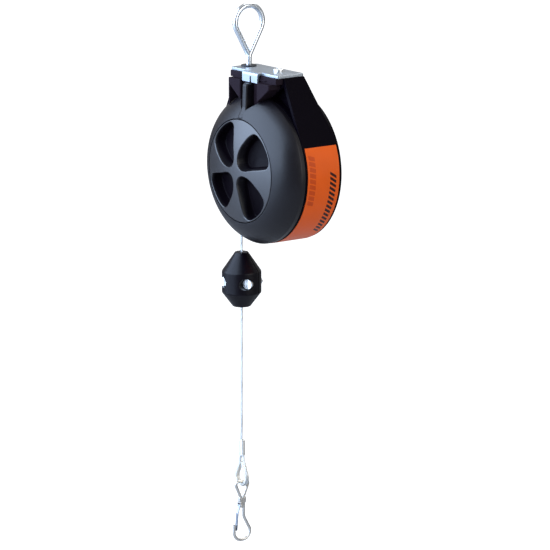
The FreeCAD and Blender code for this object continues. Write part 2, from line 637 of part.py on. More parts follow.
def ratchet_wheel():
    """Saw teeth that point one way, so that the knob can't unwind by itself."""
    points = []
    step = 360 / RATCHET_TEETH
    for i in range(RATCHET_TEETH):
        points.append(polar(RATCHET_R, i * step))
        points.append(polar(RATCHET_R - TOOTH_DEPTH, (i + TOOTH_BACK) * step))
    y1 = RATCHET_Y + RATCHET_T
    wheel = prism_y(points, RATCHET_Y, y1)
    half = ARBOR_SQUARE / 2 + SEAT_GAP
    places = [polar(WHEEL_HOLE_PCR, 360 / WHEEL_HOLES * (i + 0.5)) for i in range(WHEEL_HOLES)]
    windows = [disc(WHEEL_HOLE_R, RATCHET_Y, y1, x, z) for x, z in places]
    square = box_between(-half, half, RATCHET_Y, y1, -half, half)
    return wheel.cut([square] + windows)


def pawl():
    """A leaf of spring steel whose tip drops behind each tooth."""
    floor_y = RECESS_FLOOR_Y + WALL
    mid_y = RATCHET_Y + RATCHET_T / 2
    side = PAWL_SCREW_X - PAWL_HALF
    foot = box_between(side, PAWL_SCREW_X + PAWL_HALF, floor_y, floor_y + PAWL_T,
                       -PAWL_HALF, PAWL_HALF)
    wall = box_between(side, side + PAWL_T, floor_y, mid_y + PAWL_WIDTH / 2,
                       -PAWL_HALF, PAWL_HALF)
    root = (side, PAWL_ROOT)
    clear_r = RATCHET_R + BODY_GAP
    touch = math.atan2(root[1], root[0]) + math.acos(clear_r / math.hypot(*root))
    out = (math.cos(touch), math.sin(touch))
    tip = (clear_r * out[0], clear_r * out[1])
    arm = prism_y([root, tip, (tip[0] + out[0] * PAWL_T, tip[1] + out[1] * PAWL_T),
                   (root[0] + out[0] * PAWL_T, root[1] + out[1] * PAWL_T)],
                  floor_y + BODY_GAP, mid_y + PAWL_WIDTH / 2)
    hole = disc(LID_SCREW_R + SEAT_GAP, floor_y, floor_y + PAWL_T, PAWL_SCREW_X)
    return joined(foot, wall, arm).cut(hole)


def pawl_screw():
    floor_y = RECESS_FLOOR_Y + WALL
    shank = disc(LID_SCREW_R, floor_y - PAWL_T + SEAT_GAP, floor_y + PAWL_T, PAWL_SCREW_X)
    head = disc(LID_HEAD_R, floor_y + PAWL_T, floor_y + PAWL_T + LID_HEAD_T, PAWL_SCREW_X)
    return joined(shank, head)


def arbor_clip():
    """A snap ring in front of the drum that keeps the arbor in the cover."""
    y0 = RATCHET_Y + RATCHET_T + BODY_GAP
    ring = tube_ring(ARBOR_R + CLIP_WALL, ARBOR_R + SEAT_GAP, y0, y0 + CLIP_T)
    half = CLIP_MOUTH / 2
    return ring.cut(box_between(-half, half, y0, y0 + CLIP_T, 0, ARBOR_R + CLIP_WALL))


def bush(y0, y1):
    return tube_ring(BUSH_R, ARBOR_R + RUN_GAP, y0, y1)


def cover_bush():
    return bush(RECESS_FLOOR_Y, RECESS_FLOOR_Y + WALL)


def rear_bush():
    return bush(DRUM_BACK_Y + FLANGE_T + DRUM_HUB_LENGTH + BODY_GAP, BACK_Y - SHAFT_END_GAP)


# ---- drum --------------------------------------------------------------------------
def spring_room():
    """The Y limits of the space for the mainspring inside the drum."""
    return DRUM_FRONT_Y + FLANGE_T + SPRING_END_GAP, DRUM_BACK_Y - SPRING_END_GAP


def drum():
    back = DRUM_BACK_Y + FLANGE_T
    profile = [(BUSH_R + SEAT_GAP, DRUM_BACK_Y), (SPRING_ROOM_R, DRUM_BACK_Y),
               (SPRING_ROOM_R, DRUM_FRONT_Y), (FLANGE_R, DRUM_FRONT_Y),
               (FLANGE_R, DRUM_FRONT_Y + FLANGE_T), (DRUM_RIM_R, DRUM_FRONT_Y + FLANGE_T)]
    profile += [(DRUM_RIM_R, DRUM_BACK_Y), (FLANGE_R, DRUM_BACK_Y), (FLANGE_R, back),
                (BOSS_R, back), (BOSS_R, back + DRUM_HUB_LENGTH),
                (BUSH_R + SEAT_GAP, back + DRUM_HUB_LENGTH)]
    body = turned(profile)
    seat_y = DRUM_FRONT_Y + LID_T
    lid_seat = tube_ring(SPRING_ROOM_R + LID_SEAT, SPRING_ROOM_R - LID_SEAT, DRUM_FRONT_Y, seat_y)
    body = body.cut(lid_seat)
    body = joined(body, *lid_ears())
    return body.cut(lid_screw_holes())


def lid_ears():
    """Small lugs inside the drum's rim that take the lid's screws."""
    room = disc(SPRING_ROOM_R + LID_EAR_INSET, 0, BACK_Y)
    depth = DRUM_FRONT_Y + FLANGE_T + LID_EAR_DEPTH
    return [disc(LID_EAR_R, DRUM_FRONT_Y + LID_T, depth, x, z).common(room)
            for x, z in lid_screw_places()]


def lid_screw_places():
    return [polar(SPRING_ROOM_R - LID_EAR_INSET, 360 / LID_SCREWS * i) for i in range(LID_SCREWS)]


def lid_screw_holes():
    depth = DRUM_FRONT_Y + FLANGE_T + LID_EAR_DEPTH
    return [disc(LID_SCREW_R + SEAT_GAP, 0, depth, x, z) for x, z in lid_screw_places()]


def drum_lid():
    y0 = DRUM_FRONT_Y
    y1 = y0 + LID_T - SEAT_GAP
    plate = tube_ring(SPRING_ROOM_R + LID_SEAT - SEAT_GAP, BUSH_R + SEAT_GAP, y0, y1)
    hub = tube_ring(BOSS_R, BUSH_R + SEAT_GAP, y0 - LID_HUB_RISE, y1)
    return joined(plate, hub).cut(lid_screw_holes())


def lid_screws():
    y0 = DRUM_FRONT_Y
    screws = []
    for x, z in lid_screw_places():
        shank = disc(LID_SCREW_R, y0, y0 + FLANGE_T + LID_EAR_DEPTH - RUN_GAP, x, z)
        screws.append(joined(shank, disc(LID_HEAD_R, y0 - LID_HEAD_T, y0, x, z)))
    return Part.makeCompound(screws)


def drum_bush_front():
    return bush(DRUM_FRONT_Y - LID_HUB_RISE, DRUM_FRONT_Y + LID_T)


def drum_bush_rear():
    back = DRUM_BACK_Y + FLANGE_T
    return bush(DRUM_BACK_Y, back + DRUM_HUB_LENGTH)


def mainspring():
    """A flat spiral of half circles, from the arbor's slot to the drum's rim."""
    y0, y1 = spring_room()
    inner = ARBOR_R + BODY_GAP
    outer = SPRING_ROOM_R - SPRING_OUTER_GAP
    grow = (outer - inner - SPRING_T) / SPRING_COILS

    def spiral(start):
        """Half circles whose centres step to and fro by half of the growth."""
        edges = []
        radius = start
        point = Vec(0, y0, -start)
        for half_turn in range(2 * SPRING_COILS):
            side = 1 if half_turn % 2 == 0 else -1
            radius_now = radius + grow / 4
            centre = Vec(0, y0, point.z + side * radius_now)
            crest = centre + Vec(side * radius_now, 0, 0)
            end = centre + Vec(0, 0, side * radius_now)
            edges.append(Part.Arc(point, crest, end).toShape())
            point = end
            radius = radius + grow / 2
        return edges, point

    inside, inside_end = spiral(inner)
    outside, outside_end = spiral(inner + SPRING_T)
    start_cap = Part.LineSegment(Vec(0, y0, -inner), Vec(0, y0, -inner - SPRING_T)).toShape()
    end_cap = Part.LineSegment(inside_end, outside_end).toShape()
    wire = Part.Wire(inside + [end_cap] + outside[::-1] + [start_cap])
    ribbon = Part.Face(wire).extrude(Y_DIR * (y1 - y0))
    tongue = box_between(-SPRING_T / 2, SPRING_T / 2, y0, y1, -inner - SPRING_T, -ARBOR_R / 2)
    tail_z = outside_end.z
    tail = box_between(-SPRING_T, 0, y0, y1, -SPRING_ROOM_R + SEAT_GAP, tail_z + SPRING_T)
    return joined(ribbon, tongue, tail)


def rope_windings():
    """The wound rope, as one band with a ridge for each turn."""
    root_r = DRUM_RIM_R + SEAT_GAP
    points = [(root_r, ROPE_Y - ROPE_R)]
    for i in range(ROPE_TURNS):
        y = ROPE_Y + i * ROPE_PITCH
        points += [(DRUM_PITCH_R, y - ROPE_PITCH / 2), (DRUM_PITCH_R + ROPE_R, y)]
    end_y = ROPE_Y + (ROPE_TURNS - 1) * ROPE_PITCH + ROPE_R
    points[1] = (DRUM_PITCH_R, ROPE_Y - ROPE_R)
    return turned(points + [(DRUM_PITCH_R, end_y), (root_r, end_y)])


# ---- suspension --------------------------------------------------------------------
def suspension_plate():
    """A bent plate: a flat top, with a slotted tab folded down at the front."""
    top = box_between(-NECK_HALF, NECK_HALF, PLATE_FRONT_Y, NECK_BACK_Y, NECK_TOP, PLATE_TOP)
    corners = [edge for edge in top.Edges
               if abs(edge.Vertexes[0].X - edge.Vertexes[-1].X) < 1e-6
               and abs(edge.Vertexes[0].Y - edge.Vertexes[-1].Y) < 1e-6]
    top = top.makeFillet(PLATE_CORNER_R, corners)
    inner_y = TAB_FRONT_Y + PLATE_T
    root_y = PLATE_FRONT_Y + PLATE_CORNER_R
    fold = prism_x([(root_y, PLATE_TOP), (TAB_FRONT_Y, PLATE_TOP), (TAB_FRONT_Y, TAB_BOTTOM_Z),
                    (inner_y, TAB_BOTTOM_Z), (inner_y, NECK_TOP), (root_y, NECK_TOP)],
                   TAB_HALF, [0, PLATE_T, 0, 0, 0, 0])
    plate = joined(top, fold)
    slot = box_between(0, TAB_SLOT, TAB_FRONT_Y, inner_y, TAB_BOTTOM_Z,
                       NECK_TOP - TAB_SLOT_ROOT)
    holes = [post(EYE_WIRE_R + 2 * RUN_GAP, NECK_TOP, PLATE_TOP, -EYE_SIDE, ROPE_Y),
             post(BOLT_R + SEAT_GAP, NECK_TOP, PLATE_TOP, BOLT_SIDE, BOLT_Y), slot]
    return plate.cut(holes)


def suspension_eye():
    """One bent rod: a shank, a pear-shaped loop, and its tip welded to the shank."""
    apex_z = PLATE_TOP + EYE_SHANK_RISE
    height = EYE_CROWN_Z - apex_z
    side = loop_corner(height, EYE_LOOP_R)
    start = Vec(-EYE_SIDE, ROPE_Y, NECK_TOP - NUT_T - BODY_GAP / 2)
    points = [start, Vec(-EYE_SIDE, ROPE_Y, apex_z),
              Vec(-EYE_SIDE, ROPE_Y + side, EYE_CROWN_Z), Vec(-EYE_SIDE, ROPE_Y - side, EYE_CROWN_Z),
              Vec(-EYE_SIDE, ROPE_Y - EYE_TIP_SIDE, apex_z + EYE_TIP_RISE)]
    crown_r = EYE_LOOP_R - SEAT_GAP
    path = rounded_wire(points, [0, EYE_BEND_R, crown_r, crown_r - BODY_GAP, 0], False)
    return wire_rod(path, EYE_WIRE_R, start, Z_DIR)


def eye_nut():
    z1 = NECK_TOP - RUN_GAP
    collar = post(NUT_R, z1 - NUT_T, z1, -EYE_SIDE, ROPE_Y)
    return collar.cut(post(EYE_WIRE_R + SEAT_GAP, z1 - NUT_T, z1, -EYE_SIDE, ROPE_Y))


def eye_washer():
    z0 = PLATE_TOP + RUN_GAP
    washer = post(WASHER_R, z0, z0 + WASHER_T, -EYE_SIDE, ROPE_Y)
    return washer.cut(post(EYE_WIRE_R + SEAT_GAP, z0, z0 + WASHER_T, -EYE_SIDE, ROPE_Y))


def plate_bolt():
    shank = post(BOLT_R, PLATE_TOP - BOLT_LENGTH, PLATE_TOP, BOLT_SIDE, BOLT_Y)
    head = post(BOLT_HEAD_R, PLATE_TOP, PLATE_TOP + BOLT_HEAD_T, BOLT_SIDE, BOLT_Y)
    ring = [edge for edge in head.Edges if abs(edge.CenterOfMass.z - head.BoundBox.ZMax) < 1e-6]
    head = head.makeFillet(BOLT_HEAD_EDGE_R, ring)
    half = BOLT_SLOT / 2
    head_z = PLATE_TOP + BOLT_HEAD_T
    slot = box_between(BOLT_SIDE - BOLT_HEAD_R, BOLT_SIDE + BOLT_HEAD_R, BOLT_Y - half,
                       BOLT_Y + half, head_z - BOLT_SLOT_DEPTH, head_z)
    return joined(shank, head).cut(slot)


# ---- rope, guide and stop ----------------------------------------------------------
def turned_on_rope(points, radii=None):
    """A (radius, z) outline turned once round the rope."""
    corners = [Vec(r, 0, z) for r, z in points]
    wire = rounded_wire(corners, radii or [0] * len(points), True)
    shape = Part.Face(wire).revolve(Vec(0, 0, 0), Z_DIR, 360)
    shape.translate(ROPE_LINE)
    return shape


def rope_guide():
    """A flared nozzle that leads the rope out of the shell."""
    points = [(GUIDE_BORE_R + GUIDE_FUNNEL, GUIDE_TOP_Z), (GUIDE_R, GUIDE_TOP_Z - GUIDE_COLLAR_T),
              (GUIDE_R, GUIDE_BOSS_Z),
              (GUIDE_COLLAR_R, GUIDE_BOSS_Z - SEAT_GAP),
              (GUIDE_COLLAR_R, GUIDE_BOSS_Z - GUIDE_COLLAR_T),
              (GUIDE_TIP_R, GUIDE_END_Z), (GUIDE_BORE_R + GUIDE_LIP, GUIDE_END_Z),
              (GUIDE_BORE_R, GUIDE_END_Z + GUIDE_LIP_DEPTH),
              (GUIDE_BORE_R, GUIDE_TOP_Z - GUIDE_FUNNEL_DEPTH)]
    return turned_on_rope(points)


def rope_piece(z0, z1):
    return post(ROPE_R, z0, z1, ROPE_LINE.x, ROPE_LINE.y)


def stop_body():
    """The whole rope stop before it is split: two cones and a band."""
    upper = STOP_TOP_Z - STOP_CONE_TOP
    lower = upper - STOP_BAND
    bore = ROPE_R + SEAT_GAP
    return turned_on_rope([(bore, STOP_TOP_Z), (STOP_TOP_R, STOP_TOP_Z), (STOP_R, upper),
                           (STOP_R, lower), (STOP_LOW_R, STOP_BOTTOM_Z), (bore, STOP_BOTTOM_Z)],
                          [0, STOP_END_EDGE_R, STOP_EDGE_R, STOP_EDGE_R, STOP_END_EDGE_R, 0])


def facing(shape):
    """Turn a piece about the rope, from -Y to the way that the stop's screws face."""
    copy = shape.copy()
    copy.rotate(ROPE_LINE, Z_DIR, STOP_TURN)
    return copy


def stop_half_box(front):
    """Everything on one side of the stop's split."""
    y0 = -STOP_R - 1 if front else STOP_SPLIT / 2
    y1 = -STOP_SPLIT / 2 if front else STOP_R + 1
    box = box_between(-STOP_R - 1, STOP_R + 1, y0, y1, STOP_BOTTOM_Z - 1, STOP_TOP_Z + 1)
    box.translate(ROPE_LINE)
    return facing(box)


def stop_rods(radius, y0, y1):
    """Two cylinders along the stop's screws, between two distances from its split."""
    rods = []
    for side in (-1, 1):
        x = ROPE_LINE.x + side * STOP_SCREW_SIDE
        rods.append(facing(disc(radius, ROPE_LINE.y + y0, ROPE_LINE.y + y1, x, STOP_MIDDLE_Z)))
    return rods


def stop_half_front():
    half = stop_body().common(stop_half_box(True))
    cuts = stop_rods(STOP_SCREW_R + SEAT_GAP, -STOP_R, 0)
    cuts += stop_rods(STOP_HEAD_R + STOP_HEAD_GAP, -STOP_R, -STOP_HEAD_SEAT)
    return half.cut(cuts)


def stop_half_rear():
    half = stop_body().common(stop_half_box(False))
    cuts = stop_rods(STOP_SCREW_R + SEAT_GAP, 0, STOP_R)
    cuts += [stop_hexagon(side, STOP_HEAD_SEAT, STOP_R, STOP_NUT_R + STOP_NUT_GAP)
             for side in (-1, 1)]
    return half.cut(cuts)


def stop_hexagon(side, y0, y1, radius):
    """A hexagonal prism on one of the stop's screw lines."""
    x = ROPE_LINE.x + side * STOP_SCREW_SIDE
    corners = [polar(radius, 60 * i) for i in range(6)]
    points = [(x + dx, STOP_MIDDLE_Z + dz) for dx, dz in corners]
    return facing(prism_y(points, ROPE_LINE.y + y0, ROPE_LINE.y + y1))


def stop_screws():
    shanks = stop_rods(STOP_SCREW_R, -STOP_HEAD_SEAT, STOP_HEAD_SEAT + STOP_NUT_T)
    heads = stop_rods(STOP_HEAD_R, -STOP_HEAD_SEAT - STOP_HEAD_T, -STOP_HEAD_SEAT)
    pieces = []
    for side, shank, head in zip((-1, 1), shanks, heads):
        x = ROPE_LINE.x + side * STOP_SCREW_SIDE
        front = ROPE_LINE.y - STOP_HEAD_SEAT - STOP_HEAD_T
        slot = box_between(x - STOP_SLOT / 2, x + STOP_SLOT / 2, front, front + STOP_SLOT_DEPTH,
                           STOP_MIDDLE_Z - STOP_HEAD_R, STOP_MIDDLE_Z + STOP_HEAD_R)
        pieces.append(joined(shank, head).cut(facing(slot)))
    return Part.makeCompound(pieces)


def stop_nuts():
    bores = stop_rods(STOP_SCREW_R + SEAT_GAP, 0, STOP_R)
    nuts = [stop_hexagon(side, STOP_HEAD_SEAT + SEAT_GAP, STOP_HEAD_SEAT + STOP_NUT_T, STOP_NUT_R)
            for side in (-1, 1)]
    return Part.makeCompound([nut.cut(bore) for nut, bore in zip(nuts, bores)])


# ---- rope end ----------------------------------------------------------------------
def at_rope(x, y, z):
    """A point measured from the rope's line."""
    return Vec(ROPE_LINE.x + x, ROPE_LINE.y + y, z)


def rope_eye_path():
    """The rope's way down from the ferrule, round the thimble and up again."""
    height = ROPE_EYE_TOP_Z - ROPE_EYE_END_Z
    side = loop_corner(height, ROPE_EYE_R)
    points = [at_rope(-ROPE_SPREAD, 0, FERRULE_TOP_Z - FERRULE_MOUTH),
              at_rope(-ROPE_SPREAD, 0, ROPE_EYE_TOP_Z),
              at_rope(-side, 0, ROPE_EYE_END_Z), at_rope(side, 0, ROPE_EYE_END_Z),
              at_rope(ROPE_SPREAD, 0, ROPE_EYE_TOP_Z),
              at_rope(ROPE_SPREAD, 0, FERRULE_TOP_Z - FERRULE_MOUTH)]
    radii = [0, ROPE_EYE_MOUTH_R, ROPE_EYE_R, ROPE_EYE_R, ROPE_EYE_MOUTH_R, 0]
    return rounded_wire(points, radii, False), points[0]


def rope_eye():
    path, start = rope_eye_path()
    return wire_rod(path, ROPE_R, start, Z_DIR)


def pear_outline(grow):
    """The rope eye's outline, larger or smaller all round, as (x, z) points and radii."""
    radius = ROPE_EYE_R + grow
    height = ROPE_EYE_TOP_Z - ROPE_EYE_END_Z
    tilt = math.asin(ROPE_EYE_R / (height - ROPE_EYE_R))
    apex_z = ROPE_EYE_TOP_Z + grow / math.sin(tilt)
    end_z = ROPE_EYE_END_Z - grow
    side = loop_corner(apex_z - end_z, radius)
    x = ROPE_LINE.x
    return [(x, apex_z), (x - side, end_z), (x + side, end_z)], [0, radius, radius]


def thimble():
    outer_points, outer_radii = pear_outline(THIMBLE_LIP)
    inner_points, inner_radii = pear_outline(-ROPE_R - THIMBLE_WALL)
    y0, y1 = ROPE_Y - THIMBLE_HALF_T, ROPE_Y + THIMBLE_HALF_T
    body = prism_y(outer_points, y0, y1, outer_radii)
    body = body.cut(prism_y(inner_points, y0, y1, inner_radii))
    path, start = rope_eye_path()
    groove = wire_rod(path, ROPE_R + SEAT_GAP, start, Z_DIR)
    tips = box_between(ROPE_LINE.x - ROPE_EYE_R, ROPE_LINE.x + ROPE_EYE_R, y0, y1,
                       ROPE_EYE_TOP_Z - THIMBLE_OPEN, FERRULE_TOP_Z)
    return body.cut([groove, tips])


def slot_tube(half, wall, z0, z1):
    """A flattened sleeve round two wires that lie side by side along X."""
    def prism(radius):
        ends = [post(radius, z0, z1, ROPE_LINE.x + side * half, ROPE_Y) for side in (-1, 1)]
        core = box_between(ROPE_LINE.x - half, ROPE_LINE.x + half, ROPE_Y - radius, ROPE_Y + radius,
                           z0, z1)
        return joined(core, *ends)
    return prism(ROPE_R + wall), [post(ROPE_R + SEAT_GAP, z0, z1, ROPE_LINE.x + side * half, ROPE_Y)
                                  for side in (-1, 1)]


def ferrule():
    z0 = ROPE_EYE_TOP_Z + FERRULE_SHORT
    body, bores = slot_tube(ROPE_SPREAD, FERRULE_WALL, z0, FERRULE_TOP_Z)
    mouth = rope_piece(FERRULE_TOP_Z - FERRULE_MOUTH, FERRULE_TOP_Z)
    return body.cut(bores + [mouth])


# ---- hook --------------------------------------------------------------------------
def hook_point(y, drop):
    """A point of the hook's plane, across from the rope and down from the bar."""
    return at_rope(0, y, HOOK_BAR_Z - drop)


def snap_hook():
    """One bent wire: a three-cornered eye above, and a long open hook below."""
    start = hook_point(-HOOK_NECK_HALF, HOOK_NECK_DROP + HOOK_COLLAR_LENGTH / 2)
    neck_top = HOOK_NECK_DROP - HOOK_COLLAR_LENGTH / 2 - HOOK_NECK_STRAIGHT
    points = [start, hook_point(-HOOK_NECK_HALF, neck_top),
              hook_point(-HOOK_EYE_HALF, 0), hook_point(HOOK_EYE_HALF, 0),
              hook_point(HOOK_NECK_HALF, neck_top),
              hook_point(HOOK_NECK_HALF, HOOK_SPINE_DROP),
              hook_point(HOOK_BULGE_HALF, HOOK_BULGE_DROP),
              hook_point(HOOK_BULGE_HALF - HOOK_END_INSET, HOOK_END_DROP),
              hook_point(HOOK_END_INSET - HOOK_BULGE_HALF, HOOK_END_DROP),
              hook_point(-HOOK_BULGE_HALF, HOOK_BULGE_DROP),
              hook_point(HOOK_NOSE_INSET - HOOK_BULGE_HALF, HOOK_NOSE_DROP)]
    radii = [0, HOOK_NECK_BEND_R, HOOK_EYE_CORNER_R, HOOK_EYE_CORNER_R, HOOK_NECK_BEND_R,
             HOOK_SPINE_BEND_R, HOOK_BULGE_BEND_R, HOOK_BEND_R, HOOK_BEND_R, HOOK_BULGE_BEND_R, 0]
    path = rounded_wire(points, radii, False)
    return wire_rod(path, HOOK_WIRE_R, start, Z_DIR)


def hook_collar():
    """The sleeve that ties the wire's short end to the spine, with ears for the gate."""
    radius = HOOK_WIRE_R + HOOK_COLLAR_WALL
    top = HOOK_BAR_Z - HOOK_NECK_DROP + HOOK_COLLAR_LENGTH / 2
    low = top - HOOK_COLLAR_LENGTH
    ends = [post(radius, low, top, ROPE_LINE.x, ROPE_Y + side * HOOK_NECK_HALF) for side in (-1, 1)]
    core = box_between(ROPE_LINE.x - radius, ROPE_LINE.x + radius,
                       ROPE_Y - HOOK_NECK_HALF, ROPE_Y + HOOK_NECK_HALF, low, top)
    body = joined(core, *ends)
    bores = [post(HOOK_WIRE_R + SEAT_GAP, low, top, ROPE_LINE.x, ROPE_Y + side * HOOK_NECK_HALF)
             for side in (-1, 1)]
    body = body.cut(bores)
    pivot = gate_pivot()
    reach = GATE_WIDTH / 2 + GATE_SIDE_GAP
    ears = []
    for x0 in (ROPE_LINE.x - reach - HOOK_COLLAR_WALL, ROPE_LINE.x + reach):
        ear = box_between(x0, x0 + HOOK_COLLAR_WALL, pivot.y - GATE_EYE_R, pivot.y + GATE_EYE_R,
                          pivot.z, low + GATE_EAR_LAP)
        foot = Part.makeCylinder(GATE_EYE_R, HOOK_COLLAR_WALL, Vec(x0, pivot.y, pivot.z), X_DIR)
        ears.append(joined(ear, foot))
    body = joined(body, *ears)
    return body.cut(gate_rod(GATE_PIN_R + SEAT_GAP, reach + HOOK_COLLAR_WALL))


def gate_pivot():
    return hook_point(-HOOK_NECK_HALF, GATE_PIVOT_DROP)


def gate_rod(radius, reach):
    pivot = gate_pivot()
    return Part.makeCylinder(radius, 2 * reach, pivot - X_DIR * reach, X_DIR)


def gate_pin():
    reach = GATE_WIDTH / 2 + GATE_SIDE_GAP + HOOK_COLLAR_WALL
    heads = []
    for x0 in (-reach - GATE_PIN_HEAD_T, reach):
        start = gate_pivot() + X_DIR * x0
        heads.append(Part.makeCylinder(GATE_PIN_R + GATE_PIN_HEAD_RISE, GATE_PIN_HEAD_T,
                                       start, X_DIR))
    return joined(gate_rod(GATE_PIN_R, reach), *heads)


def gate():
    """A sprung tongue, rolled round its pin, that closes the hook from inside."""
    pivot = gate_pivot()
    knee = hook_point(*GATE_KNEE)
    tip = hook_point(*GATE_TIP)
    half = GATE_T / 2
    side = pivot.y - GATE_EYE_R + half
    points = [(side - half, pivot.z), (knee.y - half, knee.z), (tip.y - half, tip.z),
              (tip.y + half, tip.z), (knee.y + half, knee.z + GATE_KNEE_RISE), (side + half, pivot.z)]
    strip = [Vec(ROPE_LINE.x - GATE_WIDTH / 2, y, z) for y, z in points]
    leaf = Part.Face(rounded_wire(strip, [0, 2.0, 0.3, 0.3, 1.2, 0], True))
    leaf = leaf.extrude(X_DIR * GATE_WIDTH)
    roll = Part.makeCylinder(GATE_EYE_R, GATE_WIDTH, pivot - X_DIR * (GATE_WIDTH / 2), X_DIR)
    return joined(leaf, roll).cut(gate_rod(GATE_PIN_R + RUN_GAP, GATE_WIDTH / 2))


PIECES = {
    "rear_shell": rear_shell,
    "front_cover": front_cover,
    "neck_cover": neck_cover,
    "label": label,
    "cover_screws": cover_screws,
    "suspension_plate": suspension_plate,
    "plate_bolt": plate_bolt,
    "cover_bush": cover_bush,
    "rear_bush": rear_bush,
    "pawl": pawl,
    "pawl_screw": pawl_screw,
    "rope_guide": rope_guide,
    "suspension_eye": suspension_eye,
    "eye_nut": eye_nut,
    "eye_washer": eye_washer,
    "knob": knob,
    "knob_pin": lambda: knob_pin_rod(KNOB_PIN_R),
    "arbor": arbor,
    "ratchet_wheel": ratchet_wheel,
    "arbor_clip": arbor_clip,
    "drum": drum,
    "drum_lid": drum_lid,
    "lid_screws": lid_screws,
    "drum_bush_front": drum_bush_front,
    "drum_bush_rear": drum_bush_rear,
    "mainspring": mainspring,
    "rope_windings": rope_windings,
    "rope_inner": lambda: rope_piece(GUIDE_END_Z, INNER_ROPE_TOP_Z),
    "rope_upper": lambda: rope_piece(STOP_TOP_Z, GUIDE_END_Z),
    "rope_lower": lambda: rope_piece(FERRULE_TOP_Z - FERRULE_MOUTH, STOP_TOP_Z),
    "stop_half_front": stop_half_front,
    "stop_half_rear": stop_half_rear,
    "stop_screws": stop_screws,
    "stop_nuts": stop_nuts,
    "ferrule": ferrule,
    "rope_eye": rope_eye,
    "thimble": thimble,
    "snap_hook": snap_hook,
    "hook_collar": hook_collar,
    "gate_pin": gate_pin,
    "gate": gate,
}


def main():
    os.makedirs("parts", exist_ok=True)
    for name, make in PIECES.items():
        shape = make()
        shape.translate(-ORIGIN)
        solids = shape.Solids
        print(f"{name}: {len(solids)} solids, {shape.Volume / 1000:.3f} cm3, valid {shape.isValid()}")
        shape.exportStep(f"parts/{name}.step")


main()
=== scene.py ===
"""Dresses the tool balancer: its mouldings, zinc plated steel, wire rope and snap hook.

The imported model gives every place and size. Lengths are in metres, in the model's frame:
+Z is up, the knob faces -Y, and the origin lies under the crown of the suspension eye.
"""
import json
import math

import bmesh
import bpy
from bpy.props import FloatProperty, FloatVectorProperty, IntProperty, PointerProperty
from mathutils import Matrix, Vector
from mathutils.bvhtree import BVHTree


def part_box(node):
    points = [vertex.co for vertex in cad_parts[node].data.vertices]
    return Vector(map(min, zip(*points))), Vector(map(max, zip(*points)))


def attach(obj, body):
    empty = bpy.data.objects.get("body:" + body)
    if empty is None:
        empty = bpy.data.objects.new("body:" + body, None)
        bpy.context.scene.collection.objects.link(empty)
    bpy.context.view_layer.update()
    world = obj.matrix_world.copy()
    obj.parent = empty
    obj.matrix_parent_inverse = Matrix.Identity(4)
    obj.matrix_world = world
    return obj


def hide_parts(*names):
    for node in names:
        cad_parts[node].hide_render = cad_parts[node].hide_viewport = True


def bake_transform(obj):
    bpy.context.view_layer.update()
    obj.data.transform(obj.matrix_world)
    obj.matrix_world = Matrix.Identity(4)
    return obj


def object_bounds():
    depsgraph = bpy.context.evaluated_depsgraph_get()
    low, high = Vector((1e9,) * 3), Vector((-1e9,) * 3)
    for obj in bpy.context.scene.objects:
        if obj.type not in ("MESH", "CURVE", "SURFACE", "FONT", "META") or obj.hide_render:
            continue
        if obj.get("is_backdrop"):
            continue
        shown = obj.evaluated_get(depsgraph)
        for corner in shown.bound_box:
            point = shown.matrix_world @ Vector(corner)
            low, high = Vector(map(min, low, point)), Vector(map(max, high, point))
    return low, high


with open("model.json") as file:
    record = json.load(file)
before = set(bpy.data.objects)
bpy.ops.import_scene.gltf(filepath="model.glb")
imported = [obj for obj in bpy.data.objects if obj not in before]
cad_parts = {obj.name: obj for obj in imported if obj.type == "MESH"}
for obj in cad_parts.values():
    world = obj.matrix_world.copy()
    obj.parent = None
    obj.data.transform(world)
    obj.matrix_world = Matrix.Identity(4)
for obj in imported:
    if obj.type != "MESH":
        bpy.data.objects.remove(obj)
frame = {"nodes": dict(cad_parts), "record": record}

bl_info = {
    "name": "Tool balancer",
    "version": (1, 0, 0),
    "blender": (4, 5, 0),
    "location": "View3D > Sidebar > Balancer",
    "description": "Models and finishes a spring balancer for hand tools",
    "category": "Object",
}

MM = 0.001
WELD = 1e-6                             # points closer than this are one
FLAT_ANGLE = math.radians(0.3)          # faces that meet at less than this are one
SHARP_ANGLE = 25                        # edges sharper than this many degrees are rounded
START_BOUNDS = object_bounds()


def middle(node):
    """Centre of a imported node's box."""
    low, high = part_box(node)
    return (low + high) / 2


# ---- places that every piece is worked out from ------------------------------------
AXIS = middle("knob")                   # on the drum's axis
KNOB_LOW, KNOB_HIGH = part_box("knob")
KNOB_RADIUS = (KNOB_HIGH.x - KNOB_LOW.x) / 2
ROPE = middle("rope_lower")             # on the rope's line
ROPE_RADIUS = (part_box("rope_lower")[1].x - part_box("rope_lower")[0].x) / 2
GUIDE_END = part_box("rope_guide")[0].z


# ---- settings ----------------------------------------------------------------------
class BalancerKnob(bpy.types.PropertyGroup):
    crown: FloatProperty(name="Crown", description="How far the knob's middle stands out",
                         default=5.2 * MM, unit="LENGTH")
    edge: FloatProperty(name="Edge", description="Radius of the knob's rounded edge",
                        default=0.9 * MM, unit="LENGTH")
    pocket_depth: FloatProperty(name="Pocket depth", description="Depth of a finger pocket",
                                default=10.6 * MM, unit="LENGTH")
    wall_width: FloatProperty(name="Pocket wall", description="Width that a pocket's wall takes",
                              default=2.6 * MM, unit="LENGTH")
    tilt: FloatProperty(name="Tilt", description="How far the lobes are turned from upright",
                        default=math.radians(-3), subtype="ANGLE")


class BalancerRope(bpy.types.PropertyGroup):
    strands: IntProperty(name="Strands", description="Strands laid round the core", default=6)
    lay: FloatProperty(name="Lay", description="Length of one turn of a strand",
                       default=11 * MM, unit="LENGTH")


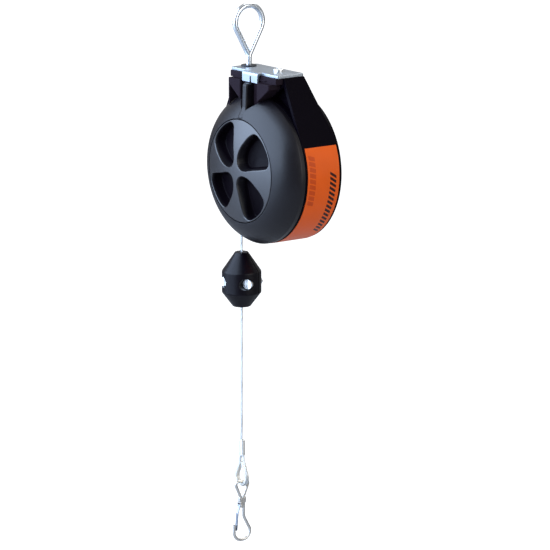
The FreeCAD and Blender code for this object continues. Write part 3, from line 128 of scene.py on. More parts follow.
class BalancerFinish(bpy.types.PropertyGroup):
    edge_round: FloatProperty(name="Edge rounding", description="Rounding of moulded edges",
                              default=0.35 * MM, unit="LENGTH")
    shell_colour: FloatVectorProperty(name="Shell", description="Black plastic of the rear shell",
                                      default=(0.0014, 0.0005, 0.0024), subtype="COLOR")
    neck_colour: FloatVectorProperty(name="Neck", description="Brownish black of the neck cover",
                                     default=(0.0137, 0.0088, 0.0127), subtype="COLOR")
    cover_colour: FloatVectorProperty(name="Cover", description="Dark grey plastic of the cover",
                                      default=(0.0034, 0.0024, 0.0040), subtype="COLOR")
    knob_colour: FloatVectorProperty(name="Knob", description="Dark grey plastic of the knob",
                                     default=(0.0034, 0.0022, 0.0038), subtype="COLOR")
    label_colour: FloatVectorProperty(name="Label", description="Orange film of the label",
                                      default=(0.72, 0.097, 0.004), subtype="COLOR")
    zinc_colour: FloatVectorProperty(name="Zinc", description="Zinc plated steel",
                                     default=(0.84, 0.89, 0.94), subtype="COLOR")


class BalancerStage(bpy.types.PropertyGroup):
    floor_gap: FloatProperty(name="Floor gap", description="From the snap hook to the floor",
                             default=0.35, unit="LENGTH")
    azimuth: FloatProperty(name="Azimuth", description="Camera's turn from the front",
                           default=math.radians(53), subtype="ANGLE")
    elevation: FloatProperty(name="Elevation", description="Camera's height above level",
                             default=math.radians(12), subtype="ANGLE")
    distance: FloatProperty(name="Distance", description="Camera to the object",
                            default=3.2, unit="LENGTH")
    view_width: FloatProperty(name="View width", description="Width that the camera sees",
                              default=436.7 * MM, unit="LENGTH")


# ---- meshes ------------------------------------------------------------------------
def set_smooth(mesh, degrees=35):
    """Smooth shading that keeps edges sharper than an angle."""
    mesh.shade_smooth()
    mesh.set_sharp_from_angle(angle=math.radians(degrees))


def to_object(bm, name):
    """A new object at the origin from a bmesh, with its normals facing out."""
    bmesh.ops.recalc_face_normals(bm, faces=bm.faces)
    mesh = bpy.data.meshes.new(name)
    bm.to_mesh(mesh)
    bm.free()
    obj = bpy.data.objects.new(name, mesh)
    bpy.context.scene.collection.objects.link(obj)
    set_smooth(mesh)
    return obj


def settle(obj, body, slot, material, *nodes):
    """Gives a piece its finish and body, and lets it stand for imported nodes."""
    obj.data.materials.clear()
    obj.data.materials.append(material)
    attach(obj, body)
    if nodes:
        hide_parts(*nodes)
    return obj


def softened(node, width, name, sharp):
    """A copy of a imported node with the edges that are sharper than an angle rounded."""
    bm = bmesh.new()
    bm.from_mesh(frame["nodes"][node].data)
    bmesh.ops.remove_doubles(bm, verts=bm.verts, dist=WELD)
    bmesh.ops.dissolve_limit(bm, angle_limit=FLAT_ANGLE, verts=bm.verts, edges=bm.edges)
    surface = BVHTree.FromBMesh(bm)
    edges = [edge for edge in bm.edges
             if len(edge.link_faces) == 2 and edge.calc_face_angle(0) > math.radians(sharp)]
    bmesh.ops.bevel(bm, geom=edges, offset=width, offset_type="OFFSET", affect="EDGES",
                    segments=2, profile=0.5, clamp_overlap=False, material=-1)
    for vert in bm.verts:       # short edges can throw a corner off the surface
        nearest, _, _, distance = surface.find_nearest(vert.co)
        if distance > width / 2:
            vert.co = nearest
    obj = to_object(bm, name)
    weighted = obj.modifiers.new("weighted", "WEIGHTED_NORMAL")
    weighted.keep_sharp = True
    return obj


# ---- node groups -------------------------------------------------------------------
def add(tree, kind, settings=None, **inputs):
    """One node with its properties and unlinked inputs set; linked inputs are sockets."""
    node = tree.nodes.new(kind)
    for key, value in (settings or {}).items():
        setattr(node, key, value)
    for key, value in inputs.items():
        socket = node.inputs[key.replace("_", " ")]
        if isinstance(value, bpy.types.NodeSocket):
            tree.links.new(value, socket)
        else:
            socket.default_value = value
    return node


def new_group(name, inputs, outputs):
    """An empty node group with float inputs and outputs, and its two end nodes."""
    tree = bpy.data.node_groups.new(name, "ShaderNodeTree")
    for label, default in inputs:
        socket = tree.interface.new_socket(label, in_out="INPUT", socket_type="NodeSocketFloat")
        socket.default_value = default
    for label, kind in outputs:
        tree.interface.new_socket(label, in_out="OUTPUT", socket_type=kind)
    return tree, tree.nodes.new("NodeGroupInput"), tree.nodes.new("NodeGroupOutput")


def math_node(tree, operation, first, second=0.0):
    """The output of a Math node on two numbers or sockets."""
    node = tree.nodes.new("ShaderNodeMath")
    node.operation = operation
    for socket, value in zip(node.inputs, (first, second)):
        if isinstance(value, bpy.types.NodeSocket):
            tree.links.new(value, socket)
        else:
            socket.default_value = value
    return node.outputs[0]


def grain_group():
    """Fine moulded or plated grain, broad mottling and rubbed patches."""
    inputs = [("Grain Scale", 3000.0), ("Mottle Scale", 60.0), ("Rub Scale", 25.0)]
    outputs = [("Height", "NodeSocketFloat"), ("Mottle", "NodeSocketFloat"),
               ("Rub", "NodeSocketFloat")]
    tree, start, end = new_group("surface grain", inputs, outputs)
    where = tree.nodes.new("ShaderNodeTexCoord").outputs["Object"]
    fine = add(tree, "ShaderNodeTexNoise", Vector=where, Scale=start.outputs[0], Detail=3.0)
    broad = add(tree, "ShaderNodeTexNoise", Vector=where, Scale=start.outputs[1], Detail=4.0)
    patch = add(tree, "ShaderNodeTexNoise", Vector=where, Scale=start.outputs[2], Detail=6.0,
                Roughness=0.7)
    rubbed = add(tree, "ShaderNodeMapRange", {"interpolation_type": "SMOOTHSTEP"},
                 Value=patch.outputs[0])
    rubbed.inputs["From Min"].default_value = 0.54
    rubbed.inputs["From Max"].default_value = 0.74
    for source, target in zip((fine, broad), end.inputs):
        tree.links.new(source.outputs[0], target)
    tree.links.new(rubbed.outputs[0], end.inputs[2])
    return tree


def scratch_group():
    """Hair scratches and drawn lines along one direction."""
    inputs = [("Scale", 400.0), ("Stretch", 12.0)]
    tree, start, end = new_group("drawn scratches", inputs, [("Height", "NodeSocketFloat")])
    where = tree.nodes.new("ShaderNodeTexCoord").outputs["Object"]
    split = add(tree, "ShaderNodeSeparateXYZ", Vector=where)
    along = math_node(tree, "DIVIDE", split.outputs[2], start.outputs[1])
    joined = tree.nodes.new("ShaderNodeCombineXYZ")
    for i, socket in enumerate((split.outputs[0], split.outputs[1], along)):
        tree.links.new(socket, joined.inputs[i])
    lines = add(tree, "ShaderNodeTexNoise", Vector=joined.outputs[0], Scale=start.outputs[0],
                Detail=2.0)
    tree.links.new(lines.outputs[0], end.inputs[0])
    return tree


GROUPS = {}


def group_in(tree, name, **values):
    """Places a shared node group in a material, with its own values."""
    makers = {"grain": grain_group, "scratches": scratch_group}
    if name not in GROUPS:
        GROUPS[name] = makers[name]()
    node = tree.nodes.new("ShaderNodeGroup")
    node.node_tree = GROUPS[name]
    for key, value in values.items():
        node.inputs[key.replace("_", " ")].default_value = value
    return node


# ---- materials ---------------------------------------------------------------------
MATERIALS = {}
FINE_GRAIN = 2200.0     # spark texture of the shell and stop
COARSE_GRAIN = 1500.0   # of the cover, neck cover and knob
POCKET_PAINTED_SHADE = 3.0      # mm below the knob's face at which a pocket's painted shade is full
# gloss of the knob's face, and the duller gloss of the painted shade deep in a pocket
FACE_GLOSS, POCKET_PAINTED_SHADE_GLOSS = 0.8, 0.04
# the label's two columns of plain printed marks: edges across the film in mm, first and last
# mark, pitch in mm, share of the pitch that is inked, slant and ink
LABEL_MARKS = [((-3.4, 2.6), (-5, 4), 4.6, 0.76, 0.3, (0.52, 0.058, 0.003)),
               ((16.6, 22.8), (-11, 4), 3.9, 0.6, 0.62, (0.030, 0.007, 0.004))]


def new_material(name):
    """A material with its node tree and shader, kept by its name."""
    material = bpy.data.materials.new(name)
    material.use_nodes = True
    tree = material.node_tree
    shader = tree.nodes["Principled BSDF"]
    MATERIALS[name] = material
    return material, tree, shader


def tinted(tree, mask, dark, light):
    """A colour between two, by a mask."""
    mix = add(tree, "ShaderNodeMix", {"data_type": "RGBA"})
    tree.links.new(mask, mix.inputs["Factor"])
    mix.inputs["A"].default_value = (*dark, 1)
    mix.inputs["B"].default_value = (*light, 1)
    return mix.outputs["Result"]


def ranged(tree, mask, low, high):
    """A number between two, by a mask."""
    node = add(tree, "ShaderNodeMapRange", Value=mask)
    node.inputs["To Min"].default_value = low
    node.inputs["To Max"].default_value = high
    return node.outputs[0]


def bumped(tree, shader, height, strength, distance):
    """Turns the shader's normals by a height."""
    bump = add(tree, "ShaderNodeBump", Height=height, Strength=strength, Distance=distance)
    tree.links.new(bump.outputs[0], shader.inputs["Normal"])


def shade(colour, factor):
    """A lighter or darker shade of a colour."""
    return tuple(channel * factor for channel in colour)


def plastic(name, colour, roughness, grain=3000.0, depth=0.02, gloss=0.5):
    """Moulded plastic: spark texture, slight mottling and rubbed, shinier patches."""
    if name in MATERIALS:
        return MATERIALS[name]
    material, tree, shader = new_material(name)
    surface = group_in(tree, "grain", Grain_Scale=grain, Mottle_Scale=45.0, Rub_Scale=32.0)
    colour_out = tinted(tree, surface.outputs["Mottle"], shade(colour, 0.82), shade(colour, 1.2))
    tree.links.new(colour_out, shader.inputs["Base Color"])
    rough = ranged(tree, surface.outputs["Rub"], roughness, roughness * 0.8)
    tree.links.new(rough, shader.inputs["Roughness"])
    shader.inputs["Specular IOR Level"].default_value = gloss
    bumped(tree, shader, surface.outputs["Height"], 0.35, depth * MM)
    return material


def metal(name, colour, roughness, spangle=90.0, stretch=1.0, depth=0.008):
    """Plated or drawn metal: patchy plating, roughness that varies, and hair lines."""
    if name in MATERIALS:
        return MATERIALS[name]
    material, tree, shader = new_material(name)
    surface = group_in(tree, "grain", Grain_Scale=900.0, Mottle_Scale=spangle, Rub_Scale=70.0)
    lines = group_in(tree, "scratches", Scale=900.0, Stretch=stretch)
    colour_out = tinted(tree, surface.outputs["Mottle"], shade(colour, 0.84), shade(colour, 1.04))
    tree.links.new(colour_out, shader.inputs["Base Color"])
    shader.inputs["Metallic"].default_value = 1.0
    rough = ranged(tree, surface.outputs["Mottle"], roughness * 1.35, roughness * 0.7)
    tree.links.new(rough, shader.inputs["Roughness"])
    height = math_node(tree, "ADD", surface.outputs["Height"], lines.outputs["Height"])
    bumped(tree, shader, height, 0.3, depth * MM)
    return material


def within(tree, value, low, high):
    """1 where a value lies between two limits, and 0 elsewhere."""
    above = math_node(tree, "GREATER_THAN", value, low)
    return math_node(tree, "MULTIPLY", above, math_node(tree, "LESS_THAN", value, high))


def printed_marks(tree, colour_socket):
    """Lays two columns of plain marks over the film's colour, round the drum's axis."""
    where = add(tree, "ShaderNodeSeparateXYZ",
                Vector=tree.nodes.new("ShaderNodeTexCoord").outputs["Object"])
    x = math_node(tree, "SUBTRACT", where.outputs[0], AXIS.x)
    z = math_node(tree, "SUBTRACT", where.outputs[2], AXIS.z)
    turn = math_node(tree, "ARCTAN2", z, x)
    across = math_node(tree, "DIVIDE", where.outputs[1], MM)
    radius = START_BOUNDS[1].x - AXIS.x
    for (near, far), (first, last), pitch, share, slant, ink in LABEL_MARKS:
        length = math_node(tree, "MULTIPLY", turn, radius / MM / pitch)
        leaning = math_node(tree, "MULTIPLY", across, slant / pitch)
        count = math_node(tree, "ADD", length, leaning)
        step = math_node(tree, "FRACT", count)
        column = math_node(tree, "MULTIPLY", within(tree, across, near, far),
                           within(tree, count, first, last))
        mark = math_node(tree, "MULTIPLY", column, math_node(tree, "LESS_THAN", step, share))
        mix = add(tree, "ShaderNodeMix", {"data_type": "RGBA"})
        tree.links.new(mark, mix.inputs["Factor"])
        tree.links.new(colour_socket, mix.inputs["A"])
        mix.inputs["B"].default_value = (*ink, 1)
        colour_socket = mix.outputs["Result"]
    return colour_socket


def film(name, colour):
    """Printed self-adhesive film: even colour, a thin clear coat and faint ripples."""
    if name in MATERIALS:
        return MATERIALS[name]
    material, tree, shader = new_material(name)
    surface = group_in(tree, "grain", Grain_Scale=1600.0, Mottle_Scale=38.0, Rub_Scale=30.0)
    colour_out = tinted(tree, surface.outputs["Mottle"], shade(colour, 0.9), shade(colour, 1.08))
    tree.links.new(printed_marks(tree, colour_out), shader.inputs["Base Color"])
    rough = ranged(tree, surface.outputs["Rub"], 0.38, 0.3)
    tree.links.new(rough, shader.inputs["Roughness"])
    shader.inputs["Specular IOR Level"].default_value = 0.2
    shader.inputs["Coat Weight"].default_value = 0.06
    shader.inputs["Coat Roughness"].default_value = 0.12
    bumped(tree, shader, surface.outputs["Mottle"], 0.15, 0.05 * MM)
    return material


def finish():
    """The finish settings of the scene."""
    return bpy.context.scene.balancer_finish


def shell_plastic():
    return plastic("shell plastic", finish().shell_colour, 0.5, grain=FINE_GRAIN, depth=0.01,
                   gloss=0.04)


def neck_plastic():
    return plastic("neck plastic", finish().neck_colour, 0.45, grain=COARSE_GRAIN, gloss=0.03)


def cover_plastic():
    return plastic("cover plastic", finish().cover_colour, 0.38, grain=COARSE_GRAIN, depth=0.03,
                   gloss=0.36)


def knob_plastic():
    """The knob's grained plastic, with painted shade that makes it darker and duller down in the
    finger pockets.
    """
    if "knob plastic" in MATERIALS:
        return MATERIALS["knob plastic"]
    material = plastic("knob plastic", finish().knob_colour, 0.36, grain=COARSE_GRAIN, depth=0.03)
    tree = material.node_tree
    shader = tree.nodes["Principled BSDF"]
    face = KNOB_LOW.y + bpy.context.scene.balancer_knob.crown
    where = add(tree, "ShaderNodeSeparateXYZ",
                Vector=tree.nodes.new("ShaderNodeTexCoord").outputs["Object"])
    # painted shade mask: 0 at the knob's face, 1 where a pocket is fully shaded
    down = add(tree, "ShaderNodeMapRange", Value=where.outputs[1])
    down.inputs["From Min"].default_value = face
    down.inputs["From Max"].default_value = face + POCKET_PAINTED_SHADE * MM
    # painted shade in the gloss: duller down in the pockets
    gloss = ranged(tree, down.outputs[0], FACE_GLOSS, POCKET_PAINTED_SHADE_GLOSS)
    tree.links.new(gloss, shader.inputs["Specular IOR Level"])
    # painted shade in the colour: darker down in the pockets
    open_colour = shader.inputs["Base Color"].links[0].from_socket
    mix = add(tree, "ShaderNodeMix", {"data_type": "RGBA"})
    tree.links.new(down.outputs[0], mix.inputs["Factor"])
    tree.links.new(open_colour, mix.inputs["A"])
    mix.inputs["B"].default_value = (*shade(finish().knob_colour, 0.9), 1)
    tree.links.new(mix.outputs["Result"], shader.inputs["Base Color"])
    return material


def stop_plastic():
    return plastic("stop plastic", finish().shell_colour, 0.36, grain=FINE_GRAIN, depth=0.01,
                   gloss=0.18)


def guide_plastic():
    return plastic("guide plastic", shade(finish().shell_colour, 1.6), 0.4, depth=0.01, gloss=0.2)


def zinc_sheet():
    return metal("zinc sheet", (0.42, 0.46, 0.50), 0.38)


def zinc_rod():
    return metal("zinc rod", finish().zinc_colour, 0.24, spangle=45.0, stretch=14.0, depth=0.002)


def zinc_screw():
    return metal("zinc screw", (0.97, 0.96, 0.93), 0.34)


def hook_steel():
    return metal("hook steel", (0.76, 0.73, 0.68), 0.27, stretch=14.0)


def rope_steel():
    return metal("rope steel", (0.76, 0.77, 0.76), 0.36, stretch=14.0, depth=0.002)


def ferrule_aluminium():
    return metal("ferrule aluminium", (0.90, 0.88, 0.82), 0.4)


def spring_steel():
    return metal("spring steel", (0.30, 0.32, 0.36), 0.28, stretch=14.0)


def turned_steel():
    return metal("turned steel", (0.56, 0.57, 0.59), 0.3)


def blackened_steel():
    return metal("blackened steel", (0.05, 0.052, 0.06), 0.42)


def bronze():
    return metal("sintered bronze", (0.60, 0.40, 0.19), 0.42)


def drum_aluminium():
    return metal("cast aluminium", (0.66, 0.67, 0.69), 0.45)


SLOT_FINISH = {
    "shell_plastic": shell_plastic, "cover_plastic": cover_plastic, "knob_plastic": knob_plastic,
    "stop_plastic": stop_plastic, "guide_plastic": guide_plastic, "zinc_sheet": zinc_sheet,
    "zinc_rod": zinc_rod, "zinc_screw": zinc_screw, "hook_steel": hook_steel,
    "rope_steel": rope_steel, "ferrule_aluminium": ferrule_aluminium,
    "spring_steel": spring_steel, "turned_steel": turned_steel, "bronze": bronze,
    "blackened_steel": blackened_steel, "drum_aluminium": drum_aluminium,
}


# ---- pieces ------------------------------------------------------------------------
def dress_copy(node, body, slot, width, sharp=SHARP_ANGLE, material=None):
    """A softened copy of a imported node, in the finish of its slot or one of its own."""
    obj = softened(node, width, node + "_dressed", sharp)
    return settle(obj, body, slot, material or SLOT_FINISH[slot](), node)


class BALANCER_OT_housing(bpy.types.Operator):
    """Round the edges of the cover, shell and neck cover and give them their plastics"""

    bl_idname = "balancer.housing"
    bl_label = "Housing"

    def execute(self, context):
        width = finish().edge_round
        dress_copy("front_cover", "housing", "cover_plastic", width)
        dress_copy("rear_shell", "housing", "shell_plastic", width)
        dress_copy("neck_cover", "housing", "shell_plastic", width, material=neck_plastic())
        return {"FINISHED"}


def distance_to_outline(point, outline):
    """Distance from a point to a closed outline, negative inside it."""
    nearest = 1e9
    inside = False
    for i, corner in enumerate(outline):
        previous = outline[i - 1]
        edge = corner - previous
        reach = max(0.0, min(1.0, (point - previous).dot(edge) / edge.length_squared))
        nearest = min(nearest, (point - previous - edge * reach).length)
        if (corner.y > point.y) != (previous.y > point.y):
            cross = previous.x + (point.y - previous.y) / edge.y * edge.x
            if point.x < cross:
                inside = not inside
    return -nearest if inside else nearest


def smooth_step(value):
    """Eases a share from 0 to 1."""
    value = max(0.0, min(1.0, value))
    return value * value * (3 - 2 * value)


KNOB_RINGS, KNOB_STEPS = 150, 440       # the knob's mesh, from its middle out and around
EDGE_STEPS = 4                          # steps round the knob's edge
# one pocket's outline from the knob's axis, in mm, before the lobes are tilted
POCKET_OUTLINE = [
    (9.7, 1.9), (21.0, 4.6), (32.0, 7.2), (36.4, 9.6), (37.4, 14.8), (33.4, 22.6), (26.6, 30.0),
    (18.8, 33.6), (12.4, 30.4), (7.4, 24.6), (3.2, 18.2), (1.5, 10.6), (3.6, 4.6),
]


def rounded_outline(points, steps):
    """Points along a closed Catmull-Rom curve through a list of (x, y) points, in mm."""
    corners = [Vector(point) * MM for point in points]
    line = []
    for i, start in enumerate(corners):
        before, end = corners[i - 1], corners[(i + 1) % len(corners)]
        after = corners[(i + 2) % len(corners)]
        for k in range(steps):
            t = k / steps
            line.append(0.5 * (2 * start + (end - before) * t
                               + (2 * before - 5 * start + 4 * end - after) * t ** 2
                               + (3 * start - before - 3 * end + after) * t ** 3))
    return line


def pocket_depth_at(x, z, outline, settings):
    """How deep the nearest finger pocket is at a point of the knob's face."""
    turned = math.atan2(z, x) - settings.tilt
    quarter = math.pi / 2
    radius = math.hypot(x, z)
    local = turned - quarter * math.floor(turned / quarter)
    point = Vector((radius * math.cos(local), radius * math.sin(local)))
    inside = -distance_to_outline(point, outline)
    bowl = 0.9 + 0.1 * smooth_step(inside / (4 * settings.wall_width))
    return settings.pocket_depth * smooth_step(inside / settings.wall_width) * bowl


class BALANCER_OT_knob(bpy.types.Operator):
    """Turn the knob's crowned disc and scoop its four finger pockets"""

    bl_idname = "balancer.knob"
    bl_label = "Knob"

    def execute(self, context):
        settings = context.scene.balancer_knob
        face = KNOB_LOW.y + settings.crown
        back = KNOB_HIGH.y
        flat = KNOB_RADIUS - settings.edge
        profile = []
        for i in range(KNOB_RINGS + 1):
            radius = flat * i / KNOB_RINGS
            profile.append((radius, face - settings.crown * (1 - (radius / KNOB_RADIUS) ** 2)))
        edge_y = profile[-1][1] + settings.edge
        for i in range(1, EDGE_STEPS + 1):
            angle = math.pi / 2 * i / EDGE_STEPS
            profile.append((flat + settings.edge * math.sin(angle),
                            edge_y - settings.edge * math.cos(angle)))
        for share in (0.33, 0.66, 1.0):
            profile.append((KNOB_RADIUS, edge_y + (back - edge_y) * share))
        profile.append((0.0, back))
        bm = bmesh.new()
        line = [bm.verts.new((AXIS.x + radius, y, AXIS.z)) for radius, y in profile]
        for start, end in zip(line, line[1:]):
            bm.edges.new((start, end))
        bmesh.ops.spin(bm, geom=bm.verts[:] + bm.edges[:], cent=(AXIS.x, 0, AXIS.z),
                       axis=(0, 1, 0), angle=math.tau, steps=KNOB_STEPS, use_merge=True)
        bmesh.ops.remove_doubles(bm, verts=bm.verts, dist=WELD)
        outline = rounded_outline(POCKET_OUTLINE, 3)
        for vert in bm.verts:
            across = Vector((vert.co.x - AXIS.x, vert.co.z - AXIS.z))
            if vert.co.y < face + settings.edge / 2 and across.length < flat:
                vert.co.y += pocket_depth_at(across.x, across.y, outline, settings)
        obj = to_object(bm, "knob_dressed")
        set_smooth(obj.data, 75)
        settle(obj, "tension", "knob_plastic", knob_plastic(), "knob")
        return {"FINISHED"}


class BALANCER_OT_label(bpy.types.Operator):
    """Give the label on the shell its plain orange film"""

    bl_idname = "balancer.label"
    bl_label = "Label"

    def execute(self, context):
        node = frame["nodes"]["label"]
        node.material_slots[0].material = film("label film", finish().label_colour)
        return {"FINISHED"}


class BALANCER_OT_suspension(bpy.types.Operator):
    """Round the edges of the plate, its bolt, the eye and its washer"""

    bl_idname = "balancer.suspension"
    bl_label = "Suspension"

    def execute(self, context):
        width = finish().edge_round
        dress_copy("suspension_plate", "housing", "zinc_sheet", width)
        dress_copy("plate_bolt", "housing", "zinc_screw", width / 3)
        dress_copy("eye_washer", "suspension", "blackened_steel", width / 2)
        dress_copy("suspension_eye", "suspension", "zinc_rod", width, sharp=50)
        return {"FINISHED"}


# the rope's route from the guide's mouth, round the thimble and back into the ferrule
ROPE_ROUTE = [
    (-0.0102, 0, -0.1825), (-0.0102, 0, -0.3435), (-0.0112, 0, -0.3575), (-0.0115, 0, -0.3715),
    (-0.0178, 0, -0.3859), (-0.0165, 0, -0.3906), (-0.0126, 0, -0.3935), (-0.0078, 0, -0.3935),
    (-0.0039, 0, -0.3906), (-0.0026, 0, -0.3859), (-0.0089, 0, -0.3715), (-0.0092, 0, -0.3575),
]


def smooth_line(points):
    """Closely spaced points of the NURBS spline that has a route's points as controls."""
    curve = bpy.data.curves.new("route", "CURVE")
    curve.dimensions = "3D"
    spline = curve.splines.new("NURBS")
    spline.points.add(len(points) - 1)
    for target, point in zip(spline.points, points):
        target.co = (*point, 1)
    spline.order_u = 3
    spline.use_endpoint_u = True
    spline.resolution_u = 48
    holder = bpy.data.objects.new("route", curve)
    mesh = bpy.data.meshes.new_from_object(holder)
    line = [vert.co.copy() for vert in mesh.vertices]
    bpy.data.objects.remove(holder)
    bpy.data.curves.remove(curve)
    bpy.data.meshes.remove(mesh)
    return line


def even_steps(line, step):
    """Points at even steps along a line of points."""
    even = [line[0]]
    left = step
    for start, end in zip(line, line[1:]):
        run = (end - start).length
        while left <= run:
            even.append(start.lerp(end, left / run))
            left += step
        left -= run
    return even


def swept(name, lines, radius):
    """A mesh of round wires along lines of points."""
    curve = bpy.data.curves.new(name, "CURVE")
    curve.dimensions = "3D"
    curve.bevel_depth = radius
    curve.bevel_resolution = 1
    curve.use_fill_caps = True
    for line in lines:
        spline = curve.splines.new("POLY")
        spline.points.add(len(line) - 1)
        for target, point in zip(spline.points, line):
            target.co = (*point, 1)
    holder = bpy.data.objects.new(name, curve)
    mesh = bpy.data.meshes.new_from_object(holder)
    bpy.data.objects.remove(holder)
    bpy.data.curves.remove(curve)
    obj = bpy.data.objects.new(name, mesh)
    bpy.context.scene.collection.objects.link(obj)
    set_smooth(mesh, 60)
    return obj


def strands(name, line, settings, phase=0.0):
    """A wire rope: a core and the strands laid round it, along a line in the X-Z plane."""
    radius = ROPE_RADIUS / 3
    step = settings.lay / 14
    centres = even_steps(line, step)
    lines = [[] for _ in range(settings.strands)]
    for i, centre in enumerate(centres):
        ahead = centres[min(i + 1, len(centres) - 1)] - centres[max(i - 1, 0)]
        across = Vector((0, 1, 0)).cross(ahead).normalized()
        for k, strand in enumerate(lines):
            angle = phase + math.tau * (k / settings.strands + i * step / settings.lay)
            side = across * math.cos(angle) + Vector((0, math.sin(angle), 0))
            strand.append(centre + side * (ROPE_RADIUS - radius))
    obj = swept(name, lines + [centres], radius * 0.98)
    obj.data.materials.append(rope_steel())
    return obj


class BALANCER_OT_rope(bpy.types.Operator):
    """Lay the wire rope's strands from the drum down to the eye round the thimble"""

    bl_idname = "balancer.rope"
    bl_label = "Rope"

    def execute(self, context):
        settings = context.scene.balancer_rope
        line = smooth_line(ROPE_ROUTE)
        obj = strands("rope_strands", line, settings)
        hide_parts("rope_upper", "rope_lower", "rope_eye")
        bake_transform(obj)
        inner_top = Vector((ROPE.x, ROPE.y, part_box("rope_inner")[1].z))
        mouth = Vector((ROPE.x, ROPE.y, GUIDE_END))
        turns = (mouth - inner_top).length / settings.lay
        inner = strands("rope_inner_strands", [inner_top, mouth], settings, -math.tau * turns)
        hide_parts("rope_inner")
        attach(inner, "housing")
        return {"FINISHED"}


class BALANCER_OT_stop(bpy.types.Operator):
    """Round the two halves of the rope stop"""

    bl_idname = "balancer.stop"
    bl_label = "Rope stop"

    def execute(self, context):
        width = finish().edge_round
        dress_copy("stop_half_front", "rope_end", "stop_plastic", width)
        dress_copy("stop_half_rear", "rope_end", "stop_plastic", width)
        return {"FINISHED"}


class BALANCER_OT_rope_end(bpy.types.Operator):
    """Round the ferrule and thimble, and the snap hook's collar and gate"""

    bl_idname = "balancer.rope_end"
    bl_label = "Ferrule and hook"

    def execute(self, context):
        width = finish().edge_round
        dress_copy("ferrule", "rope_end", "ferrule_aluminium", width)
        pale = ferrule_aluminium()
        dress_copy("thimble", "rope_end", "zinc_sheet", width / 3, material=pale)
        dress_copy("hook_collar", "hook", "hook_steel", width / 2)
        dress_copy("gate", "gate", "spring_steel", width / 4)
        return {"FINISHED"}


class BALANCER_OT_carried(bpy.types.Operator):
    """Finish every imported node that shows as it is, by its material slot"""

    bl_idname = "balancer.carried"
    bl_label = "Carried nodes"

    def execute(self, context):
        for part in frame["record"]["subparts"]:
            node = frame["nodes"][part["node"]]
            if node.hide_render or part["material_slot"] == "label_film":
                continue
            node.material_slots[0].material = SLOT_FINISH[part["material_slot"]]()
        return {"FINISHED"}


# ---- stage -------------------------------------------------------------------------
LAMP_DISTANCE = 1.8
WHITE, COOL = (1, 1, 1), (0.57, 0.73, 1.0)
# the soft lamps: name, azimuth and elevation in degrees, width and height, radiance and colour
LAMPS = [
    ("front", -19, 28, (3.2, 2.5), 6.6, COOL), ("low", -22, -14, (2.4, 0.5), 1.8, COOL),
    ("side", 104, 14, (1.3, 1.5), 2.3, WHITE), ("back", 200, 54, (1.2, 1.2), 4.0, WHITE),
]
BACKDROP_GLOSSY, BACKDROP_DIFFUSE = 0.4, 0.4
# the dark flag beside the label: where it starts and ends across the sky, and its strength
FLAG_START, FLAG_END, FLAG_STRENGTH = 0.30, 0.78, 0.12


def direction(azimuth, elevation):
    """The unit vector towards an azimuth, from the front, and an elevation, in radians."""
    return Vector((math.sin(azimuth) * math.cos(elevation),
                   -math.cos(azimuth) * math.cos(elevation), math.sin(elevation)))


def studio_lamp(name, azimuth, elevation, size, radiance, colour):
    """A soft lamp, wide and high, that faces the housing from a direction in degrees."""
    away = direction(math.radians(azimuth), math.radians(elevation))
    data = bpy.data.lights.new(name, "AREA")
    data.shape = "RECTANGLE"
    data.size, data.size_y = size
    data.energy = radiance * math.pi * size[0] * size[1]
    data.color = colour
    lamp = bpy.data.objects.new(name, data)
    lamp.location = AXIS + away * LAMP_DISTANCE
    lamp.rotation_mode = "QUATERNION"
    lamp.rotation_quaternion = away.to_track_quat("Z", "Y")
    lamp.visible_camera = False
    bpy.context.scene.collection.objects.link(lamp)


def pale_backdrop(tree, output):
    """White to the camera, pale in reflections but for a dark flag, softer for the rest."""
    where = add(tree, "ShaderNodeSeparateXYZ",
                Vector=tree.nodes.new("ShaderNodeTexCoord").outputs["Generated"])
    flag = add(tree, "ShaderNodeMapRange", {"interpolation_type": "SMOOTHSTEP"},
               Value=where.outputs[0])
    for socket, value in (("From Min", FLAG_START), ("From Max", FLAG_END),
                          ("To Min", BACKDROP_GLOSSY), ("To Max", FLAG_STRENGTH)):
        flag.inputs[socket].default_value = value
    rays = tree.nodes.new("ShaderNodeLightPath")
    shone = add(tree, "ShaderNodeMapRange", Value=rays.outputs["Is Glossy Ray"],
                To_Min=BACKDROP_DIFFUSE, To_Max=flag.outputs[0])
    seen = math_node(tree, "MAXIMUM", rays.outputs["Is Camera Ray"],
                     rays.outputs["Is Transmission Ray"])
    tree.links.new(math_node(tree, "MAXIMUM", seen, shone.outputs[0]), output)


SENSOR = 36.0                           # camera's sensor, in mm
RIM_AHEAD = 4 * MM                      # the cover's widest rim ahead of the shell
AIM_RIGHT, AIM_DOWN = 14.85 * MM, 84.25 * MM    # from that rim's middle to the picture's middle


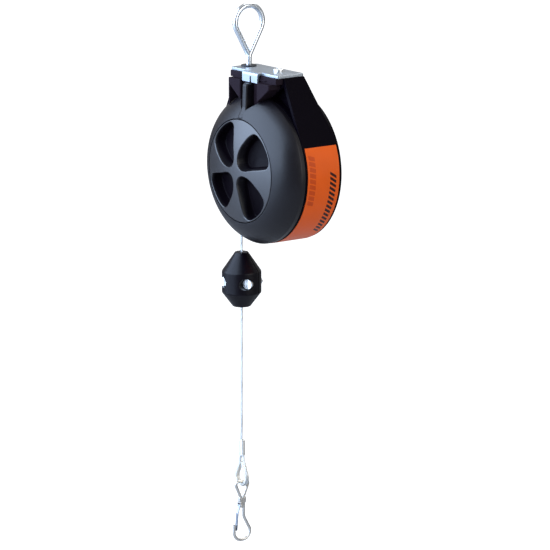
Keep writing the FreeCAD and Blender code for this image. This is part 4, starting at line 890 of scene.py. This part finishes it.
class BALANCER_OT_stage(bpy.types.Operator):
    """Add the pale floor, the soft lamps and the camera"""

    bl_idname = "balancer.stage"
    bl_label = "Stage"

    def execute(self, context):
        settings = context.scene.balancer_stage
        scene = context.scene
        bm = bmesh.new()
        bmesh.ops.create_grid(bm, x_segments=1, y_segments=1, size=30.0)
        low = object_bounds()[0]
        bmesh.ops.translate(bm, verts=bm.verts, vec=(0, 0, low.z - settings.floor_gap))
        floor = to_object(bm, "studio_floor")
        material, tree, shader = new_material("pale floor")
        shader.inputs["Base Color"].default_value = (0.32, 0.32, 0.32, 1)
        shader.inputs["Roughness"].default_value = 0.9
        shader.inputs["Specular IOR Level"].default_value = 0.1
        rays = tree.nodes.new("ShaderNodeLightPath")
        shader.inputs["Emission Color"].default_value = (1, 1, 1, 1)
        glow = ranged(tree, rays.outputs["Is Camera Ray"], 0.0, 1.0)
        tree.links.new(glow, shader.inputs["Emission Strength"])
        floor.data.materials.append(material)
        floor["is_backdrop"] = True

        world = bpy.data.worlds.new("studio")
        scene.world = world
        world.use_nodes = True
        ground = world.node_tree.nodes["Background"]
        ground.inputs["Color"].default_value = (1, 1, 1, 1)
        pale_backdrop(world.node_tree, ground.inputs["Strength"])
        for lamp in LAMPS:
            studio_lamp(*lamp)

        camera_data = bpy.data.cameras.new("camera")
        camera_data.sensor_width = SENSOR
        camera_data.lens = SENSOR * settings.distance / settings.view_width
        camera_data.clip_end = 50.0
        camera = bpy.data.objects.new("camera", camera_data)
        back = direction(settings.azimuth, settings.elevation)
        right = Vector((math.cos(settings.azimuth), math.sin(settings.azimuth), 0))
        up = back.cross(right)
        rim = Vector((AXIS.x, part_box("rear_shell")[0].y - RIM_AHEAD, AXIS.z))
        aim = rim + right * AIM_RIGHT - up * AIM_DOWN
        camera.location = aim + back * settings.distance
        camera.rotation_mode = "QUATERNION"
        camera.rotation_quaternion = back.to_track_quat("Z", "Y")
        scene.collection.objects.link(camera)
        scene.camera = camera
        scene.view_settings.view_transform = "Standard"
        return {"FINISHED"}


OPERATORS = [
    BALANCER_OT_housing, BALANCER_OT_knob, BALANCER_OT_label, BALANCER_OT_suspension,
    BALANCER_OT_stop, BALANCER_OT_rope_end, BALANCER_OT_rope, BALANCER_OT_carried,
    BALANCER_OT_stage,
]


class BALANCER_PT_panel(bpy.types.Panel):
    bl_idname = "BALANCER_PT_panel"
    bl_label = "Tool balancer"
    bl_space_type = "VIEW_3D"
    bl_region_type = "UI"
    bl_category = "Balancer"

    def draw(self, context):
        for group in SETTINGS:
            box = self.layout.box()
            settings = getattr(context.scene, group)
            for name in settings.bl_rna.properties.keys():
                if name not in {"rna_type", "name"}:
                    box.prop(settings, name)
        for operator in OPERATORS:
            self.layout.operator(operator.bl_idname)


SETTINGS = {
    "balancer_knob": BalancerKnob, "balancer_rope": BalancerRope,
    "balancer_finish": BalancerFinish, "balancer_stage": BalancerStage,
}
CLASSES = [*SETTINGS.values(), *OPERATORS, BALANCER_PT_panel]


def register():
    for cls in CLASSES:
        bpy.utils.register_class(cls)
    for name, group in SETTINGS.items():
        setattr(bpy.types.Scene, name, PointerProperty(type=group))


def unregister():
    for name in SETTINGS:
        delattr(bpy.types.Scene, name)
    for cls in reversed(CLASSES):
        bpy.utils.unregister_class(cls)


def main():
    register()
    for operator in OPERATORS:
        group, name = operator.bl_idname.split(".")
        getattr(getattr(bpy.ops, group), name)()


if __name__ == "__main__":
    main()
